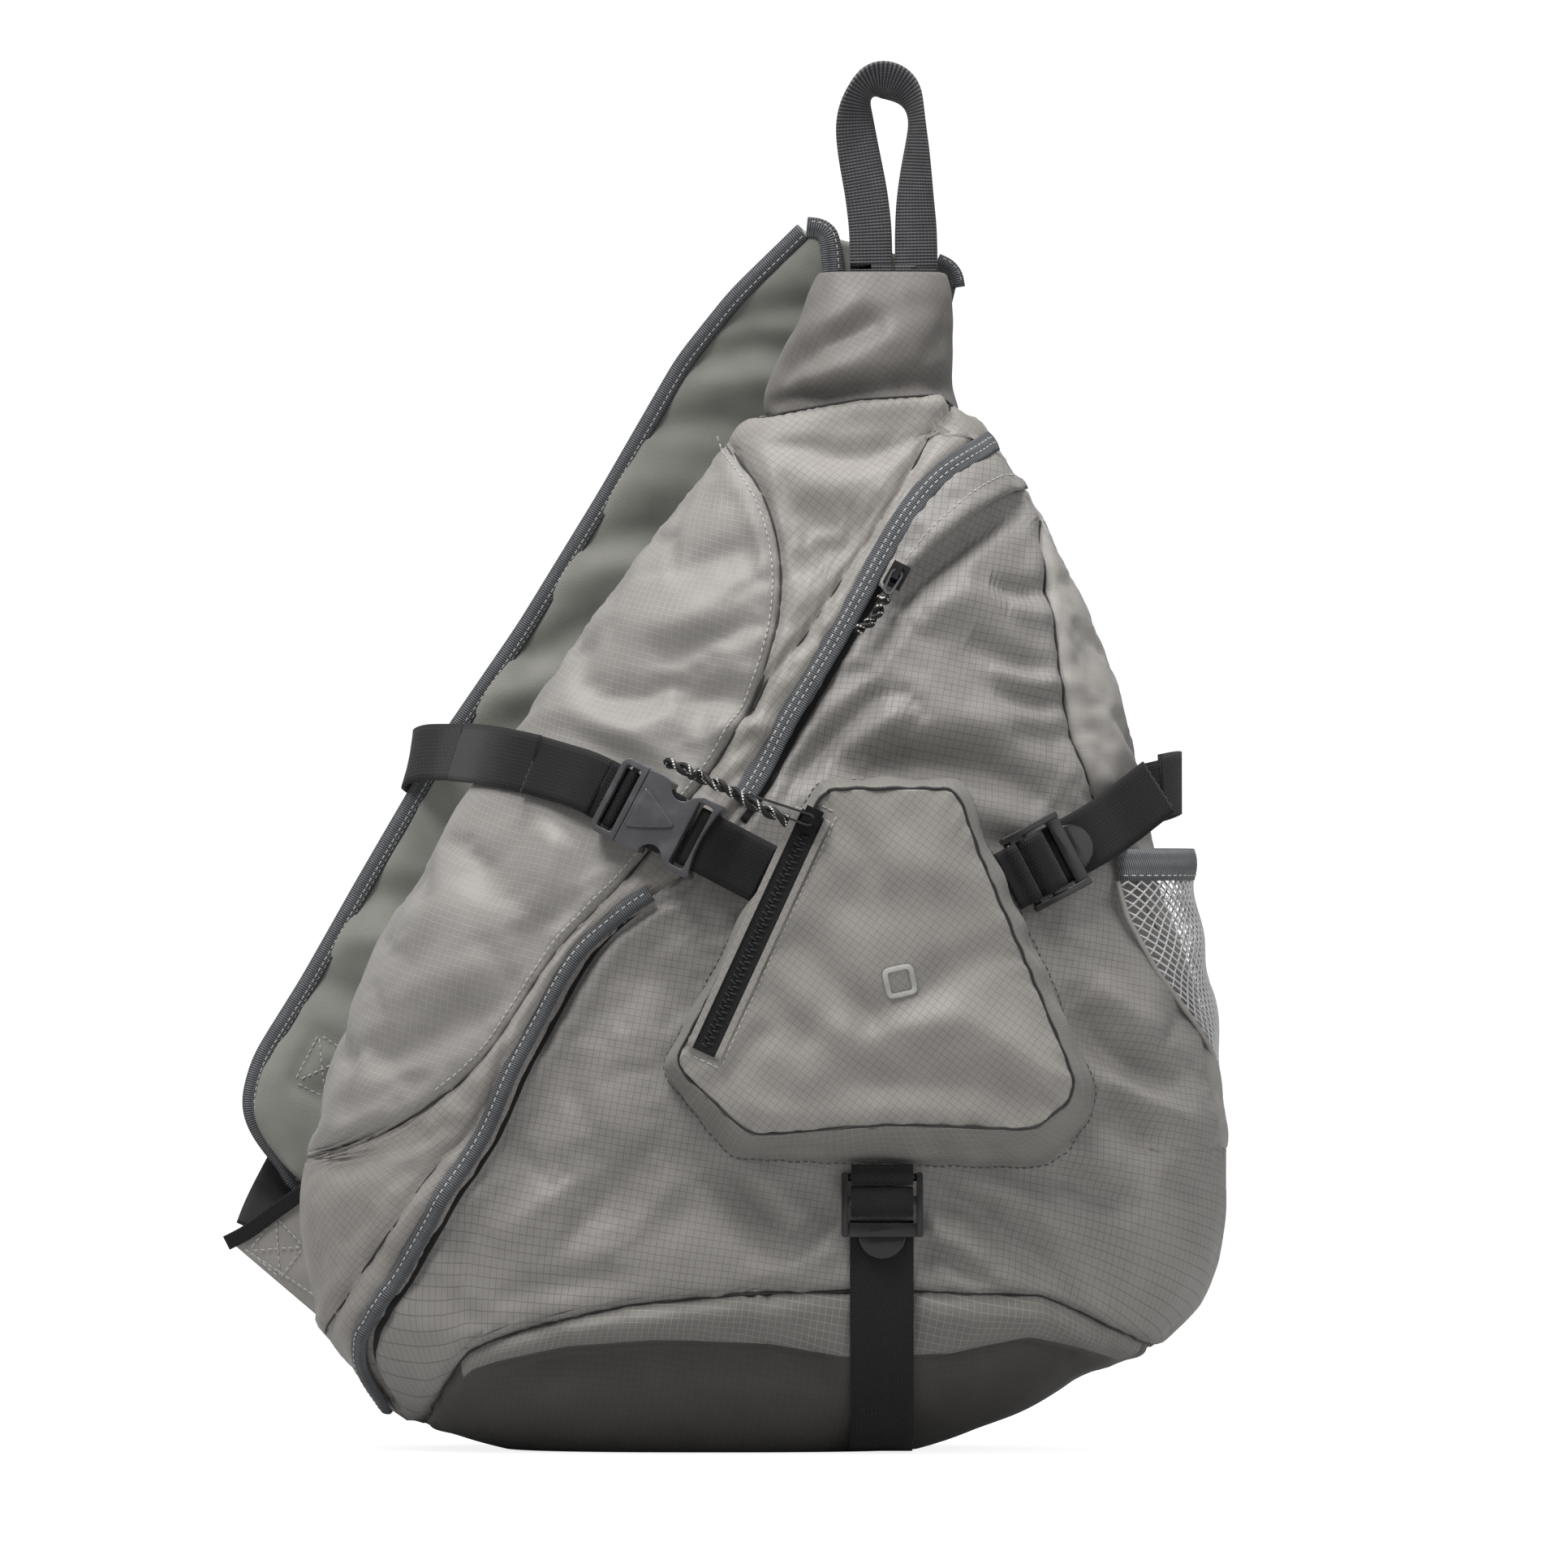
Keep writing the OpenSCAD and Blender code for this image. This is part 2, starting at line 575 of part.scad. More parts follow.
// Webbing over the middle bar, as a thick line in the lock's side view
module lock_webbing() {
    half = webbing_w / 2 - 0.4;
    rotate([90, 0, 0]) linear_extrude(2 * half, center = true) polygon([
        [15.6, -3.6], [15.6, -2.2], [14.6, 1.4], [11.9, 3.6], [6.4, 3.6], [4.6, 2], [3.9, -2.6],
        [5.2, -2.6], [6, 1.4], [7, 2.2], [11.3, 2.2], [13.3, 0.6], [14.2, -2.4], [14.2, -3.6]
    ]);
}
module anchor_webbing(length) {
    ring = bar_r + loop_gap + webbing_t;
    half = webbing_w / 2 - 0.4;
    rotate([90, 0, 0]) linear_extrude(2 * half, center = true) difference() {
        union() {
            circle(r = ring);
            translate([-length, -webbing_t]) square([length, 2 * webbing_t]);
        }
        circle(r = bar_r + loop_gap);
    }
}
lock_lift = 5.6;
RIGHT_LOCK = [116, 228];
right_lock_turn = 27;
right_lock_yaw = 14;
right_lock_pitch = -6;
right_lock_at = on_front(RIGHT_LOCK[0], RIGHT_LOCK[1], lock_lift);
module at_right_lock() {
    facing(right_lock_at, right_lock_turn, right_lock_yaw, right_lock_pitch) children();
}
function right_lock_point(x, height) =
    facing_point(right_lock_at, right_lock_turn, right_lock_yaw, right_lock_pitch, x, height);
module right_ladder_lock() {
    color(black) at_right_lock() ladder_lock();
}
module right_lock_webbing() {
    color(charcoal) at_right_lock() lock_webbing();
}
module right_anchor_webbing() {
    color(charcoal) at_right_lock() anchor_webbing(7);
}
BOTTOM_LOCK = [strap_x, 110];
module at_bottom_lock() {
    facing(on_front(BOTTOM_LOCK[0], BOTTOM_LOCK[1], lock_lift), 270, 0, 0) children();
}
module bottom_ladder_lock() {
    color(black) at_bottom_lock() ladder_lock();
}
module bottom_lock_webbing() {
    color(charcoal) at_bottom_lock() lock_webbing();
}
module bottom_anchor_webbing() {
    color(charcoal) at_bottom_lock() anchor_webbing(5);
}
module at_strap_lock() {
    translate(STRAP_LOCK_AT) rotate([-90, 0, 0]) rotate([0, 0, strap_lock_turn]) children();
}
module strap_ladder_lock() {
    color(black) at_strap_lock() ladder_lock();
}
module strap_lock_webbing() {
    color(charcoal) at_strap_lock() lock_webbing();
}
module strap_anchor_webbing() {
    color(charcoal) at_strap_lock() anchor_webbing(20);
}

// ---- Side-release buckle ----

BUCKLE = [-24, 249];
buckle_turn = 153;
buckle_yaw = -12;
buckle_pitch = -6;
buckle_lift = 4.2;
buckle_at = on_front(BUCKLE[0], BUCKLE[1], buckle_lift);
mouth_x = 11;
tail_x = -22.5;
module at_buckle() {
    facing(buckle_at, buckle_turn, buckle_yaw, buckle_pitch) children();
}
function buckle_point(x, height) =
    facing_point(buckle_at, buckle_turn, buckle_yaw, buckle_pitch, x, height);
module buckle_female() {
    half = buckle_w / 2;
    color(black) at_buckle() difference() {
        linear_extrude(buckle_t) difference() {
            polygon([
                [mouth_x, -half], [mouth_x, half], [3, half - 0.4], [-6, half - 1.4],
                [-12, half], [tail_x, half], [tail_x, -half], [-12, -half],
                [-6, 1.4 - half], [3, 0.4 - half]
            ]);
            translate([tail_x - 39, 0]) circle(r = 40);
        }
        slab([-10.5, -12.8, 2], [mouth_x + 1, 12.8, buckle_t - 2]);
        for (side = [-1, 1])
            translate([-4, side * (half + 0.5), -1]) cylinder(r = 4.8, h = buckle_t + 2);
        slab([-19, -inner_half, -1], [-12.6, inner_half, buckle_t + 1]);
        slab([tail_x - 1, -inner_half, 5.6], [-18, inner_half, buckle_t + 1]);
        slab([tail_x - 1, -inner_half, -1], [-18, inner_half, 2.2]);
    }
}
module prong(side) {
    translate([0, 0, 3]) linear_extrude(buckle_t - 6) polygon([
        [mouth_x + 0.1, side * 8.6], [mouth_x + 0.1, side * 11.4], [1, side * 11.8],
        [-1, side * 12.5], [-6, side * 12.5], [-9.6, side * 9.4], [-8, side * 7.8],
        [-2, side * 9.2]
    ]);
}
module buckle_male() {
    half = buckle_w / 2;
    color(black) at_buckle() {
        difference() {
            translate([mouth_x + 0.4, -half, 1]) cube([11.4, buckle_w, buckle_t - 2]);
            slab([mouth_x + 3, -inner_half, 0], [mouth_x + 9.6, inner_half, buckle_t]);
        }
        slab([mouth_x + 5, -inner_half - 0.5, 3.4], [mouth_x + 7.6, inner_half + 0.5, 6]);
        slab([-7, -2, 3], [mouth_x + 0.6, 2, buckle_t - 3]);
    }
}
module prong_upper() {
    color(black) at_buckle() prong(-1);
}
module prong_lower() {
    color(black) at_buckle() prong(1);
}
// Loops in the side view: along the buckle and up from its underside
module side_loop(outline) {
    rotate([90, 0, 0]) linear_extrude(webbing_w - 0.8, center = true) polygon(outline);
}
module female_webbing() {
    color(charcoal) at_buckle() side_loop([
        [-34, 1.4], [-24, 0.2], [-14.6, 0.2], [-13.4, 1.4], [-13.4, 5.6], [-15, 7.4],
        [-24, 7.4], [-34, 4.4], [-34, 3], [-24.4, 6], [-15.8, 6], [-14.8, 5],
        [-14.8, 1.9], [-15.2, 1.6], [-24, 1.6], [-34, 2.8]
    ]);
}
module male_webbing() {
    color(charcoal) at_buckle() side_loop([
        [27, 0.9], [20.6, 0.9], [19.8, 1.6], [19.8, 6.4], [18.6, 7.6], [16, 7.6], [14.8, 6.4],
        [14.8, 2], [15.6, 2], [15.6, 6], [16.4, 6.5], [18, 6.5], [18.8, 6], [18.8, 0.6],
        [20, -0.4], [27, -0.4]
    ]);
}

// ---- Compression strap ----

UP = [0, 0.1, 1];
module buckle_strap() {
    color(charcoal) fixed_ribbon(
        [buckle_point(27.8, 0.3), buckle_point(35, 0.1), [-64, -49, 268.5], [-76, -41.5, 272]],
        [0.42, 0.1, 0.9], webbing_w - 1
    );
}
module strap_crossing() {
    color(charcoal) fixed_ribbon(
        [[-77, -41, 272.5], [-87, -31, 274.5], [-96, -14, 276], [-101, 8, 276.5], [-106, 39, 277]],
        [0.3, 0, 1], webbing_w - 1
    );
}
module rear_strap() {
    color(charcoal) fixed_ribbon(
        [[-97, 96, 262], [-50, 94, 256], [0, 93, 252], [50, 91, 250], [90, 85, 251],
         [130, 73, 254], [160, 58, 258], [178, 38, 262], [183, 15, 265], [180, -10, 265],
         [173, -24, 263.5]],
        UP, webbing_w
    );
}
module strap_wrap() {
    color(charcoal) fixed_ribbon(
        [[-107, 40, 277], [-114, 60, 277], [-123, 74, 277], [-129, 84, 274], [-123, 92, 270],
         [-111, 95, 266.5], [-101, 96, 263.5]],
        [0.2, 0, 1], webbing_w - 3
    );
}
module right_strap() {
    color(charcoal) fixed_ribbon(
        [right_lock_point(16, -3), right_lock_point(24, -3.2), right_lock_point(34, -4),
         [157, -38, 251.5], [164, -33, 257], [171, -26.5, 262]],
        [-0.463, -0.02, 0.886], webbing_w - 1
    );
}
module bottom_strap() {
    under = channel_d - webbing_t / 2 - 0.4;
    color(charcoal) fixed_ribbon(concat(
        [for (z = [93, 84, 76, 66, 54, 42]) on_front(strap_x, z, 2.2)],
        [on_front(strap_x, 30, 3), on_front(strap_x, 20, 4), on_front(strap_x, 12, 5)],
        [[strap_x, -46, 5.5], [strap_x, -38, 2.2]],
        [for (y = [-30, 0, 30]) [strap_x, y, under]]
    ), [1, 0, 0], webbing_w);
}

base_panel();
front_panel();
side_panel();
moon_panel();
right_gusset();
back_panel();
back_foam();
head_panel();
main_zip_tape();
storm_flap();
upper_binding();
lower_binding();
main_zip_slider();
main_pull_wire();
main_pull_cord();
front_pocket_gusset();
front_pocket_face();
front_zip_tape();
front_zip_chain();
front_zip_slider();
front_pull_wire();
front_pull_cord();
front_pull_knot();
embroidered_patch();
mesh_pocket();
mesh_pocket_trim();
grab_handle();
handle_anchor();
strap_lining();
strap_foam();
strap_cover();
strap_binding();
strap_wing();
strap_webbing();
strap_ladder_lock();
strap_lock_webbing();
strap_anchor_webbing();
buckle_female();
buckle_male();
prong_upper();
prong_lower();
female_webbing();
male_webbing();
buckle_strap();
strap_crossing();
strap_wrap();
rear_strap();
right_strap();
right_ladder_lock();
right_lock_webbing();
right_anchor_webbing();
bottom_strap();
bottom_ladder_lock();
bottom_lock_webbing();
bottom_anchor_webbing();
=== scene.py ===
"""The looks of the sling bag: cloth, webbing, buckles, zips, camera and lights.

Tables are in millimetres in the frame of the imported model, with +Z up and the front
towards -Y. Meshes are made in metres.
"""

import math

import bmesh
import bpy
import numpy as np
from mathutils import Matrix, Vector, noise


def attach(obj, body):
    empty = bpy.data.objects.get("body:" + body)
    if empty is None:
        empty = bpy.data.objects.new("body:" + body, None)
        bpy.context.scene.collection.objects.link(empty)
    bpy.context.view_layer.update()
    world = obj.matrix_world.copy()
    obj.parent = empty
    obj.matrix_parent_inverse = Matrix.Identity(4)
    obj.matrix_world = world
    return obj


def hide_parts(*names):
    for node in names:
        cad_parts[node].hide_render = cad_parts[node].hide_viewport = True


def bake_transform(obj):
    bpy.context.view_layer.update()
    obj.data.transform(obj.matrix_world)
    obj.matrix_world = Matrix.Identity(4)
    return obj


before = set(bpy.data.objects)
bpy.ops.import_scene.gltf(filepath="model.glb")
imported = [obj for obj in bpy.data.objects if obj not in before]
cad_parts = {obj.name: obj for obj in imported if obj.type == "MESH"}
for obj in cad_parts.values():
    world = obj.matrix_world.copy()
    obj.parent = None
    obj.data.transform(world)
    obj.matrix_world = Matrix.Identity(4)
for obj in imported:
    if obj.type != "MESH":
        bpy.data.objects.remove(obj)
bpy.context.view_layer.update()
MM = 0.001
FORWARD = (0.0, -1.0, 0.0)


# ---- Tables shared with the model, in millimetres ----

FRONT_FULLNESS = 2.6
BACK_FULLNESS = 4.0
# The widest place of a section, as a share of its depth from the back
BACK_SHARE = 0.45
# The angles where the back panel starts and ends
BACK_LEFT = 205
BACK_RIGHT = 335
SHELL = [
    [0, -88, 78, -34, 55], [4, -104, 92, -43, 57], [14, -130, 114, -53, 57],
    [26, -143, 141, -61, 57], [43, -156, 176, -68, 57], [60, -163, 190, -71, 57],
    [92, -167, 197, -74, 57], [130, -161, 197, -74, 57], [157, -154, 193, -73, 57],
    [180, -146, 185, -71, 57], [211, -131, 176, -68, 57], [243, -112, 168, -64, 57],
    [276, -90, 163, -57, 57], [305, -69, 156, -49, 57], [337, -48, 142, -39, 56],
    [366, -25, 127, -29, 54], [381, -14, 120, -23, 52], [397, 0, 110, -16, 50],
    [411, 12, 97, -10, 47],
]
HEAD = [
    [402, 18, 92, -6, 42], [412, 16, 94, -7, 44], [418, 15, 91, -10, 46],
    [426, 18, 90, -11, 46], [434, 22, 91, -9, 45], [448, 29, 92, -4, 44],
    [460, 33, 91, 2, 42], [467, 36, 89, 7, 39],
]
ZIP_LINE = [
    [0, -128], [14, -128], [27, -140], [43, -146], [63, -133], [95, -114], [127, -94],
    [157, -81], [182, -68], [202, -56], [219, -33], [228, -15], [264, 12], [286, 22],
    [321, 44], [350, 60], [363, 67], [386, 83], [400, 107], [411, 118],
]
MOON_SEAM = [
    [119, -158], [123, -146], [134, -121], [146, -105], [158, -91], [173, -82],
    [200, -64], [225, -40], [250, -20], [271, -4], [292, 9], [305, 15], [324, 21],
    [344, 23], [357, 22], [374, 18], [389, 10], [399, -1], [411, -1],
]
GUSSET_SEAM = [
    [119, 197], [157, 191], [189, 182], [211, 170], [237, 160], [261, 148], [276, 140],
    [308, 134], [331, 131], [350, 128], [366, 125], [411, 125],
]
STRAP = [
    [31, 486, 91, 470, 46], [4, 460, 82, 432, 54], [-17, 434, 64, 396, 63],
    [-49, 379, 23, 339, 74], [-81, 327, -12, 288, 80], [-114, 279, -46, 238, 82],
    [-146, 224, -78, 186, 82], [-168, 185, -100, 148, 82], [-188, 153, -120, 116, 82],
    [-193, 134, -134, 100, 82], [-187, 119, -152, 96, 82], [-178, 111, -166, 100, 82],
]
POCKET_FOOT = [
    [38, 264], [93, 265], [104, 237], [124, 192], [144, 147], [145, 136], [125, 115],
    [65, 117], [4, 119], [-23, 153], [8, 209],
]
POCKET_FACE = [
    [40, 262], [91, 262], [100, 236], [119, 192], [137, 149], [137, 142], [122, 129],
    [65, 131], [10, 127], [-19, 155], [10, 209],
]
# Where the front and side panels meet the base, and where the shell meets the head
ARCH = [
    [-167, 8], [-156, 9], [-138, 14], [-124, 21], [-112, 30], [-101, 40], [-88, 46], [-62, 54],
    [-36, 60], [2, 64], [54, 65], [109, 63], [141, 50], [162, 42], [180, 38], [197, 38],
]
# The fold where the base turns under, as [x, height]
BASE_FOLD = [
    [-167, 5], [-124, 17], [-112, 26], [-101, 34], [-88, 38], [-62, 43], [-28, 46], [16, 44],
    [48, 39], [89, 40], [112, 47], [138, 42], [162, 36], [197, 32],
]
# The seams beside the zip, each place its height and distance from the middle
LOW_SEAM = [
    [49, -156.6], [54, -154.7], [75.6, -140.8], [92.4, -128], [102.3, -122], [118, -110.2],
    [126, -101.3], [142, -92], [157.6, -85.5],
]
STRIP_SEAM = [
    [293, 11], [305, 16.5], [322, 31.6], [347, 47.6], [362, 58.5], [369, 62], [377, 68],
    [388, 74], [403, 82], [411, 90],
]
SHELL_LOW = 40
SHELL_HIGH = 411
SEAM_LOW = 119
LIP = [[-10, 409], [12, 410], [54, 417], [86, 419], [97, 411], [120, 409]]
WEBBING_W = 25.0
WEBBING_T = 1.4


# ---- Small mathematics ----

FINE_STEP = 0.5
# How many of a line's samples are compared at a time
PART = 64


def unit(vectors):
    """The vectors at length one."""
    size = np.linalg.norm(vectors, axis=-1, keepdims=True)
    return vectors / np.maximum(size, 1e-9)


def soften(values, spread):
    """Rows of samples after a Gaussian blur that keeps both ends where they are."""
    reach = min(int(3 * spread) + 1, len(values[0]) - 2)
    kernel = np.exp(-0.5 * (np.arange(-reach, reach + 1) / spread) ** 2)
    kernel /= kernel.sum()
    out = []
    for row in values:
        head = 2 * row[0] - row[reach:0:-1]
        tail = 2 * row[-1] - row[-2 : -reach - 2 : -1]
        out.append(np.convolve(np.concatenate([head, row, tail]), kernel, "valid"))
    return np.array(out)


def run_along(points):
    """How far along a line each of its points is."""
    legs = np.linalg.norm(np.diff(points, axis=0), axis=1)
    return np.concatenate([[0], np.cumsum(legs)])


def sample(run, rows, where):
    """Rows between a table's own rows, at places along it."""
    return np.array([np.interp(where, run, column) for column in np.transpose(rows)]).T


def bell(gap, width):
    """One in the middle, falling smoothly to nothing over about twice a width."""
    return np.exp(-((gap / width) ** 2))


def rings(middle, edge, shares):
    """Rings of points between a middle and an edge, one for each share of the way."""
    return middle + (edge[None] - middle) * shares[:, None, None]


def smooth_table(rows, spread, pair=(0, 1), step=1.0):
    """A table's rows, a step apart along the line through two of its columns."""
    rows = np.array(rows, float)
    run = run_along(rows[:, list(pair)])
    fine = np.linspace(0, run[-1], int(run[-1] / step) + 1)
    return soften(sample(run, rows, fine).T, spread / step).T


def smooth_route(points, step=2.0, spread=None):
    """A smooth line through points in space, its samples about a step apart."""
    points = np.array(points, float)
    run = run_along(points)
    spread = spread or np.diff(run).mean() * 0.35
    fine = np.linspace(0, run[-1], max(int(run[-1] / FINE_STEP), 8))
    line = soften(sample(run, points, fine).T, spread / FINE_STEP).T
    run = run_along(line)
    even = np.linspace(0, run[-1], max(int(round(run[-1] / step)), 2) + 1)
    return sample(run, line, even)


def smooth_loop(points, spread, step=2.0):
    """A closed outline in the plane with its corners rounded, its samples a step apart."""
    points = np.array(points + points[:1], float)
    run = run_along(points)
    count = int(run[-1] / FINE_STEP)
    fine = np.arange(count) * run[-1] / count
    line = sample(run, points, fine).T
    reach = int(3 * spread / FINE_STEP)
    kernel = np.exp(-0.5 * (np.arange(-reach, reach + 1) * FINE_STEP / spread) ** 2)
    kernel /= kernel.sum()
    wide = np.concatenate([line[:, -reach:], line, line[:, :reach]], axis=1)
    line = np.array([np.convolve(row, kernel, "valid") for row in wide]).T
    every = max(int(round(step / FINE_STEP)), 1)
    return line[::every]


def lookup(x, table, column=1):
    """A value from a table, linear between its rows."""
    table = np.array(table, float)
    return np.interp(x, table[:, 0], table[:, column])


def nearest(points, line):
    """Each point's distance to a line of samples, and the sample it is nearest to."""
    flat = points.reshape(-1, points.shape[-1])
    best = np.full(len(flat), 1e9)
    index = np.zeros(len(flat), int)
    for start in range(0, len(line), PART):
        part = line[start : start + PART]
        gap = np.linalg.norm(flat[:, None, :] - part[None], axis=2)
        low = gap.argmin(axis=1)
        value = gap[np.arange(len(flat)), low]
        closer = value < best
        best[closer] = value[closer]
        index[closer] = low[closer] + start
    return best.reshape(points.shape[:-1]), index.reshape(points.shape[:-1])


def ripples(points, size, seed=0.0):
    """Smooth noise between -1 and 1 at each point, of a given size in millimetres."""
    flat = points.reshape(-1, 3) / size + seed
    return np.array([noise.noise(p) for p in flat]).reshape(points.shape[:-1]) * 1.6


# ---- The shell's surface ----

PROFILE = smooth_table(
    [[row[0], row[1], row[2], row[3], row[4], (row[2] - row[1]) / 2] for row in SHELL],
    7, pair=(0, 5),
)
HEAD_PROFILE = smooth_table(HEAD, 4, pair=(0, 1))
ZIP = smooth_table(ZIP_LINE, 7)
MOON = smooth_table(MOON_SEAM, 8)
GUSSET = smooth_table(GUSSET_SEAM, 8)


def section(table, z):
    """The section at each height: middle, half width, depths to the front and back."""
    left, right, front, back = (lookup(z, table, k) for k in (1, 2, 3, 4))
    mid_y = back - BACK_SHARE * (back - front)
    return (left + right) / 2, (right - left) / 2, mid_y, front, back


def skin(z, angle, lift=0.0, table=PROFILE):
    """Points of the surface. Angle 0 is the right edge, 90 the front, 180 the left."""
    mid_x, half_x, mid_y, front, back = section(table, z)
    cos = np.cos(np.radians(angle))
    sin = np.sin(np.radians(angle))
    power = 2 / np.where(sin >= 0, FRONT_FULLNESS, BACK_FULLNESS)
    depth = np.where(sin >= 0, mid_y - front, back - mid_y)
    x = mid_x + (half_x + lift) * np.sign(cos) * np.abs(cos) ** power
    y = mid_y - (depth + lift) * np.sign(sin) * np.abs(sin) ** power
    return np.stack(np.broadcast_arrays(x, y, z), axis=-1)


def angle_of(z, x):
    """The angle at which the front of the section reaches x."""
    mid_x, half_x = section(PROFILE, z)[:2]
    share = np.clip((x - mid_x) / half_x, -0.9985, 0.9985)
    power = FRONT_FULLNESS / 2
    return np.degrees(np.arccos(np.sign(share) * np.abs(share) ** power))


def front_y(x, z):
    """Depth of the smooth shell's front."""
    mid_x, half_x, mid_y, front = section(PROFILE, z)[:4]
    share = np.minimum(0.995, np.abs(x - mid_x) / half_x)
    bend = (1 - share**FRONT_FULLNESS) ** (1 / FRONT_FULLNESS)
    return mid_y - (mid_y - front) * bend


def front_normal(x, z):
    """Outward normal of the smooth shell's front."""
    slope_x = (front_y(x + 2, z) - front_y(x - 2, z)) / 4
    slope_z = (front_y(x, z + 4) - front_y(x, z - 4)) / 8
    return unit(np.stack([slope_x, -np.ones_like(slope_x), slope_z], axis=-1))


def cad_front_y(x, z):
    """Depth of the model's front, between its own stations."""
    left, right, front, back = (lookup(z, SHELL, k) for k in (1, 2, 3, 4))
    mid_y = back - BACK_SHARE * (back - front)
    share = min(0.995, abs(x - (left + right) / 2) / ((right - left) / 2))
    return mid_y - (mid_y - front) * (1 - share**FRONT_FULLNESS) ** (1 / FRONT_FULLNESS)


def cad_on_front(x, z, lift):
    """A place off the model's front, as the model puts its buckles."""
    normal = np.array([
        (cad_front_y(x + 2, z) - cad_front_y(x - 2, z)) / 4,
        -1,
        (cad_front_y(x, z + 4) - cad_front_y(x, z - 4)) / 8,
    ])
    return np.array([x, cad_front_y(x, z), z]) + lift * unit(normal)


# Folds in the front view: places [x, z] along it, depth, and width. A positive depth
# stands out from the shell
FOLDS = [
    ([[66, 333], [77, 343], [88, 354], [100, 363], [113, 371]], -3.4, 5),
    ([[74, 326], [86, 334], [100, 342]], 1.2, 6),
    ([[64, 302], [54, 293], [43, 284], [33, 272], [26, 262]], -3.4, 5),
    ([[74, 296], [62, 284], [50, 274]], 1.6, 6),
    ([[-20, 296], [0, 300], [14, 292]], -2.4, 8),
    ([[-8, 283], [6, 288], [20, 284]], 1.6, 6),
    ([[40, 270], [70, 274], [102, 271], [130, 259]], -4.6, 8),
    ([[52, 286], [84, 291], [124, 286]], 1.8, 8),
    ([[96, 246], [114, 240], [134, 230]], -3.0, 6),
    ([[104, 344], [118, 340], [132, 342]], -2.2, 4),
    ([[112, 334], [124, 330], [134, 330]], 1.4, 4),
    ([[96, 322], [112, 314], [131, 308]], -2.4, 5),
    ([[106, 300], [124, 296], [138, 298]], -2.2, 4),
    ([[104, 310], [120, 305], [134, 303]], 1.5, 4),
    ([[112, 284], [128, 282], [142, 284]], -1.4, 4),
    ([[76, 330], [96, 336], [112, 336]], 1.2, 8),
    ([[138, 176], [150, 160], [166, 150], [182, 148]], -4.2, 7),
    ([[144, 188], [158, 174], [174, 164]], 2.4, 6),
    ([[146, 140], [158, 132], [170, 120]], -3.4, 6),
    ([[150, 150], [164, 142], [178, 132]], 2.2, 5),
    ([[128, 112], [146, 104], [164, 96]], -2.6, 6),
    ([[76, 106], [100, 96], [124, 76], [140, 60]], -3.6, 6),
    ([[92, 112], [116, 102], [140, 84]], 2.6, 6),
    ([[76, 92], [92, 84], [108, 72]], 2.2, 5),
    ([[74, 82], [88, 78], [104, 68]], -2.4, 4),
    ([[120, 122], [138, 120], [156, 112]], 2.0, 6),
    ([[-6, 114], [4, 102], [14, 90], [26, 80]], -3.6, 6),
    ([[6, 118], [18, 106], [34, 92]], 2.4, 6),
    ([[48, 98], [34, 88], [22, 76]], -2.6, 5),
    ([[48, 84], [30, 76], [10, 72]], 1.8, 5),
    ([[-28, 120], [-44, 104], [-58, 88], [-74, 74]], -2.6, 7),
    ([[-16, 112], [-28, 98], [-40, 84]], 2.0, 6),
    ([[-60, 108], [-76, 96], [-92, 84]], 1.8, 7),
    ([[-40, 72], [-66, 68], [-92, 62]], -2.0, 6),
    ([[-46, 228], [-66, 196], [-82, 166], [-94, 138]], 2.2, 7),
    ([[-42, 214], [-57, 192], [-68, 174], [-78, 156]], -3.0, 5),
    ([[-74, 262], [-84, 240], [-98, 218]], -2.4, 9),
    ([[-60, 258], [-66, 236], [-76, 214]], 1.8, 8),
    ([[-100, 236], [-112, 214], [-126, 196]], 2.0, 8),
    ([[-60, 300], [-34, 298], [-8, 310]], -1.8, 8),
    ([[-44, 326], [-20, 326], [6, 338]], 1.6, 8),
    ([[-30, 314], [-8, 318], [14, 330]], -1.6, 6),
    ([[-24, 348], [-6, 352], [14, 358]], -1.5, 7),
    ([[-62, 284], [-40, 282], [-22, 288]], 1.4, 6),
    ([[26, 398], [50, 394], [74, 400]], -1.6, 6),
    ([[24, 382], [44, 380], [62, 386]], 1.4, 8),
    ([[38, 350], [50, 360], [58, 374]], -1.4, 6),
    ([[12, 266], [30, 288], [46, 314]], -1.8, 6),
    ([[-100, 112], [-116, 96], [-130, 78]], 2.2, 8),
    ([[-112, 98], [-124, 82], [-134, 66]], -2.2, 6),
    ([[-118, 132], [-136, 120], [-156, 114]], -2.2, 7),
    ([[-96, 178], [-118, 164], [-142, 154]], -2.0, 8),
    ([[-88, 194], [-112, 186], [-136, 178]], 1.6, 8),
    ([[146, 264], [154, 252], [160, 240]], -2.2, 6),
    ([[142, 322], [149, 308], [152, 294]], -1.0, 7),
    ([[150, 226], [160, 214], [168, 198]], -1.8, 7),
    ([[60, 60], [90, 58], [130, 56]], 1.6, 6),
    ([[-18, 212], [-60, 165], [-88, 110], [-112, 70]], -3.4, 13),
    ([[-52, 92], [-20, 97], [40, 97]], -3.0, 13),
    ([[-52, 126], [-20, 134], [16, 132]], 1.8, 13),
    ([[-60, 50], [-20, 55], [30, 58]], 1.6, 6),
]
FOLD_STRENGTH = 1.8
WRINKLE_DEPTH = 0.85
WRINKLE_SIZE = 46
FINE_DEPTH = 0.35
FINE_SIZE = 17


def folds_at(places, folds, spread=4):
    """How far a table of folds moves places in the front view."""
    total = np.zeros(places.shape[:-1])
    for line, depth, width in folds:
        gap = nearest(places, smooth_table(line, spread, step=2.0))[0]
        total += depth * bell(gap, width)
    return total


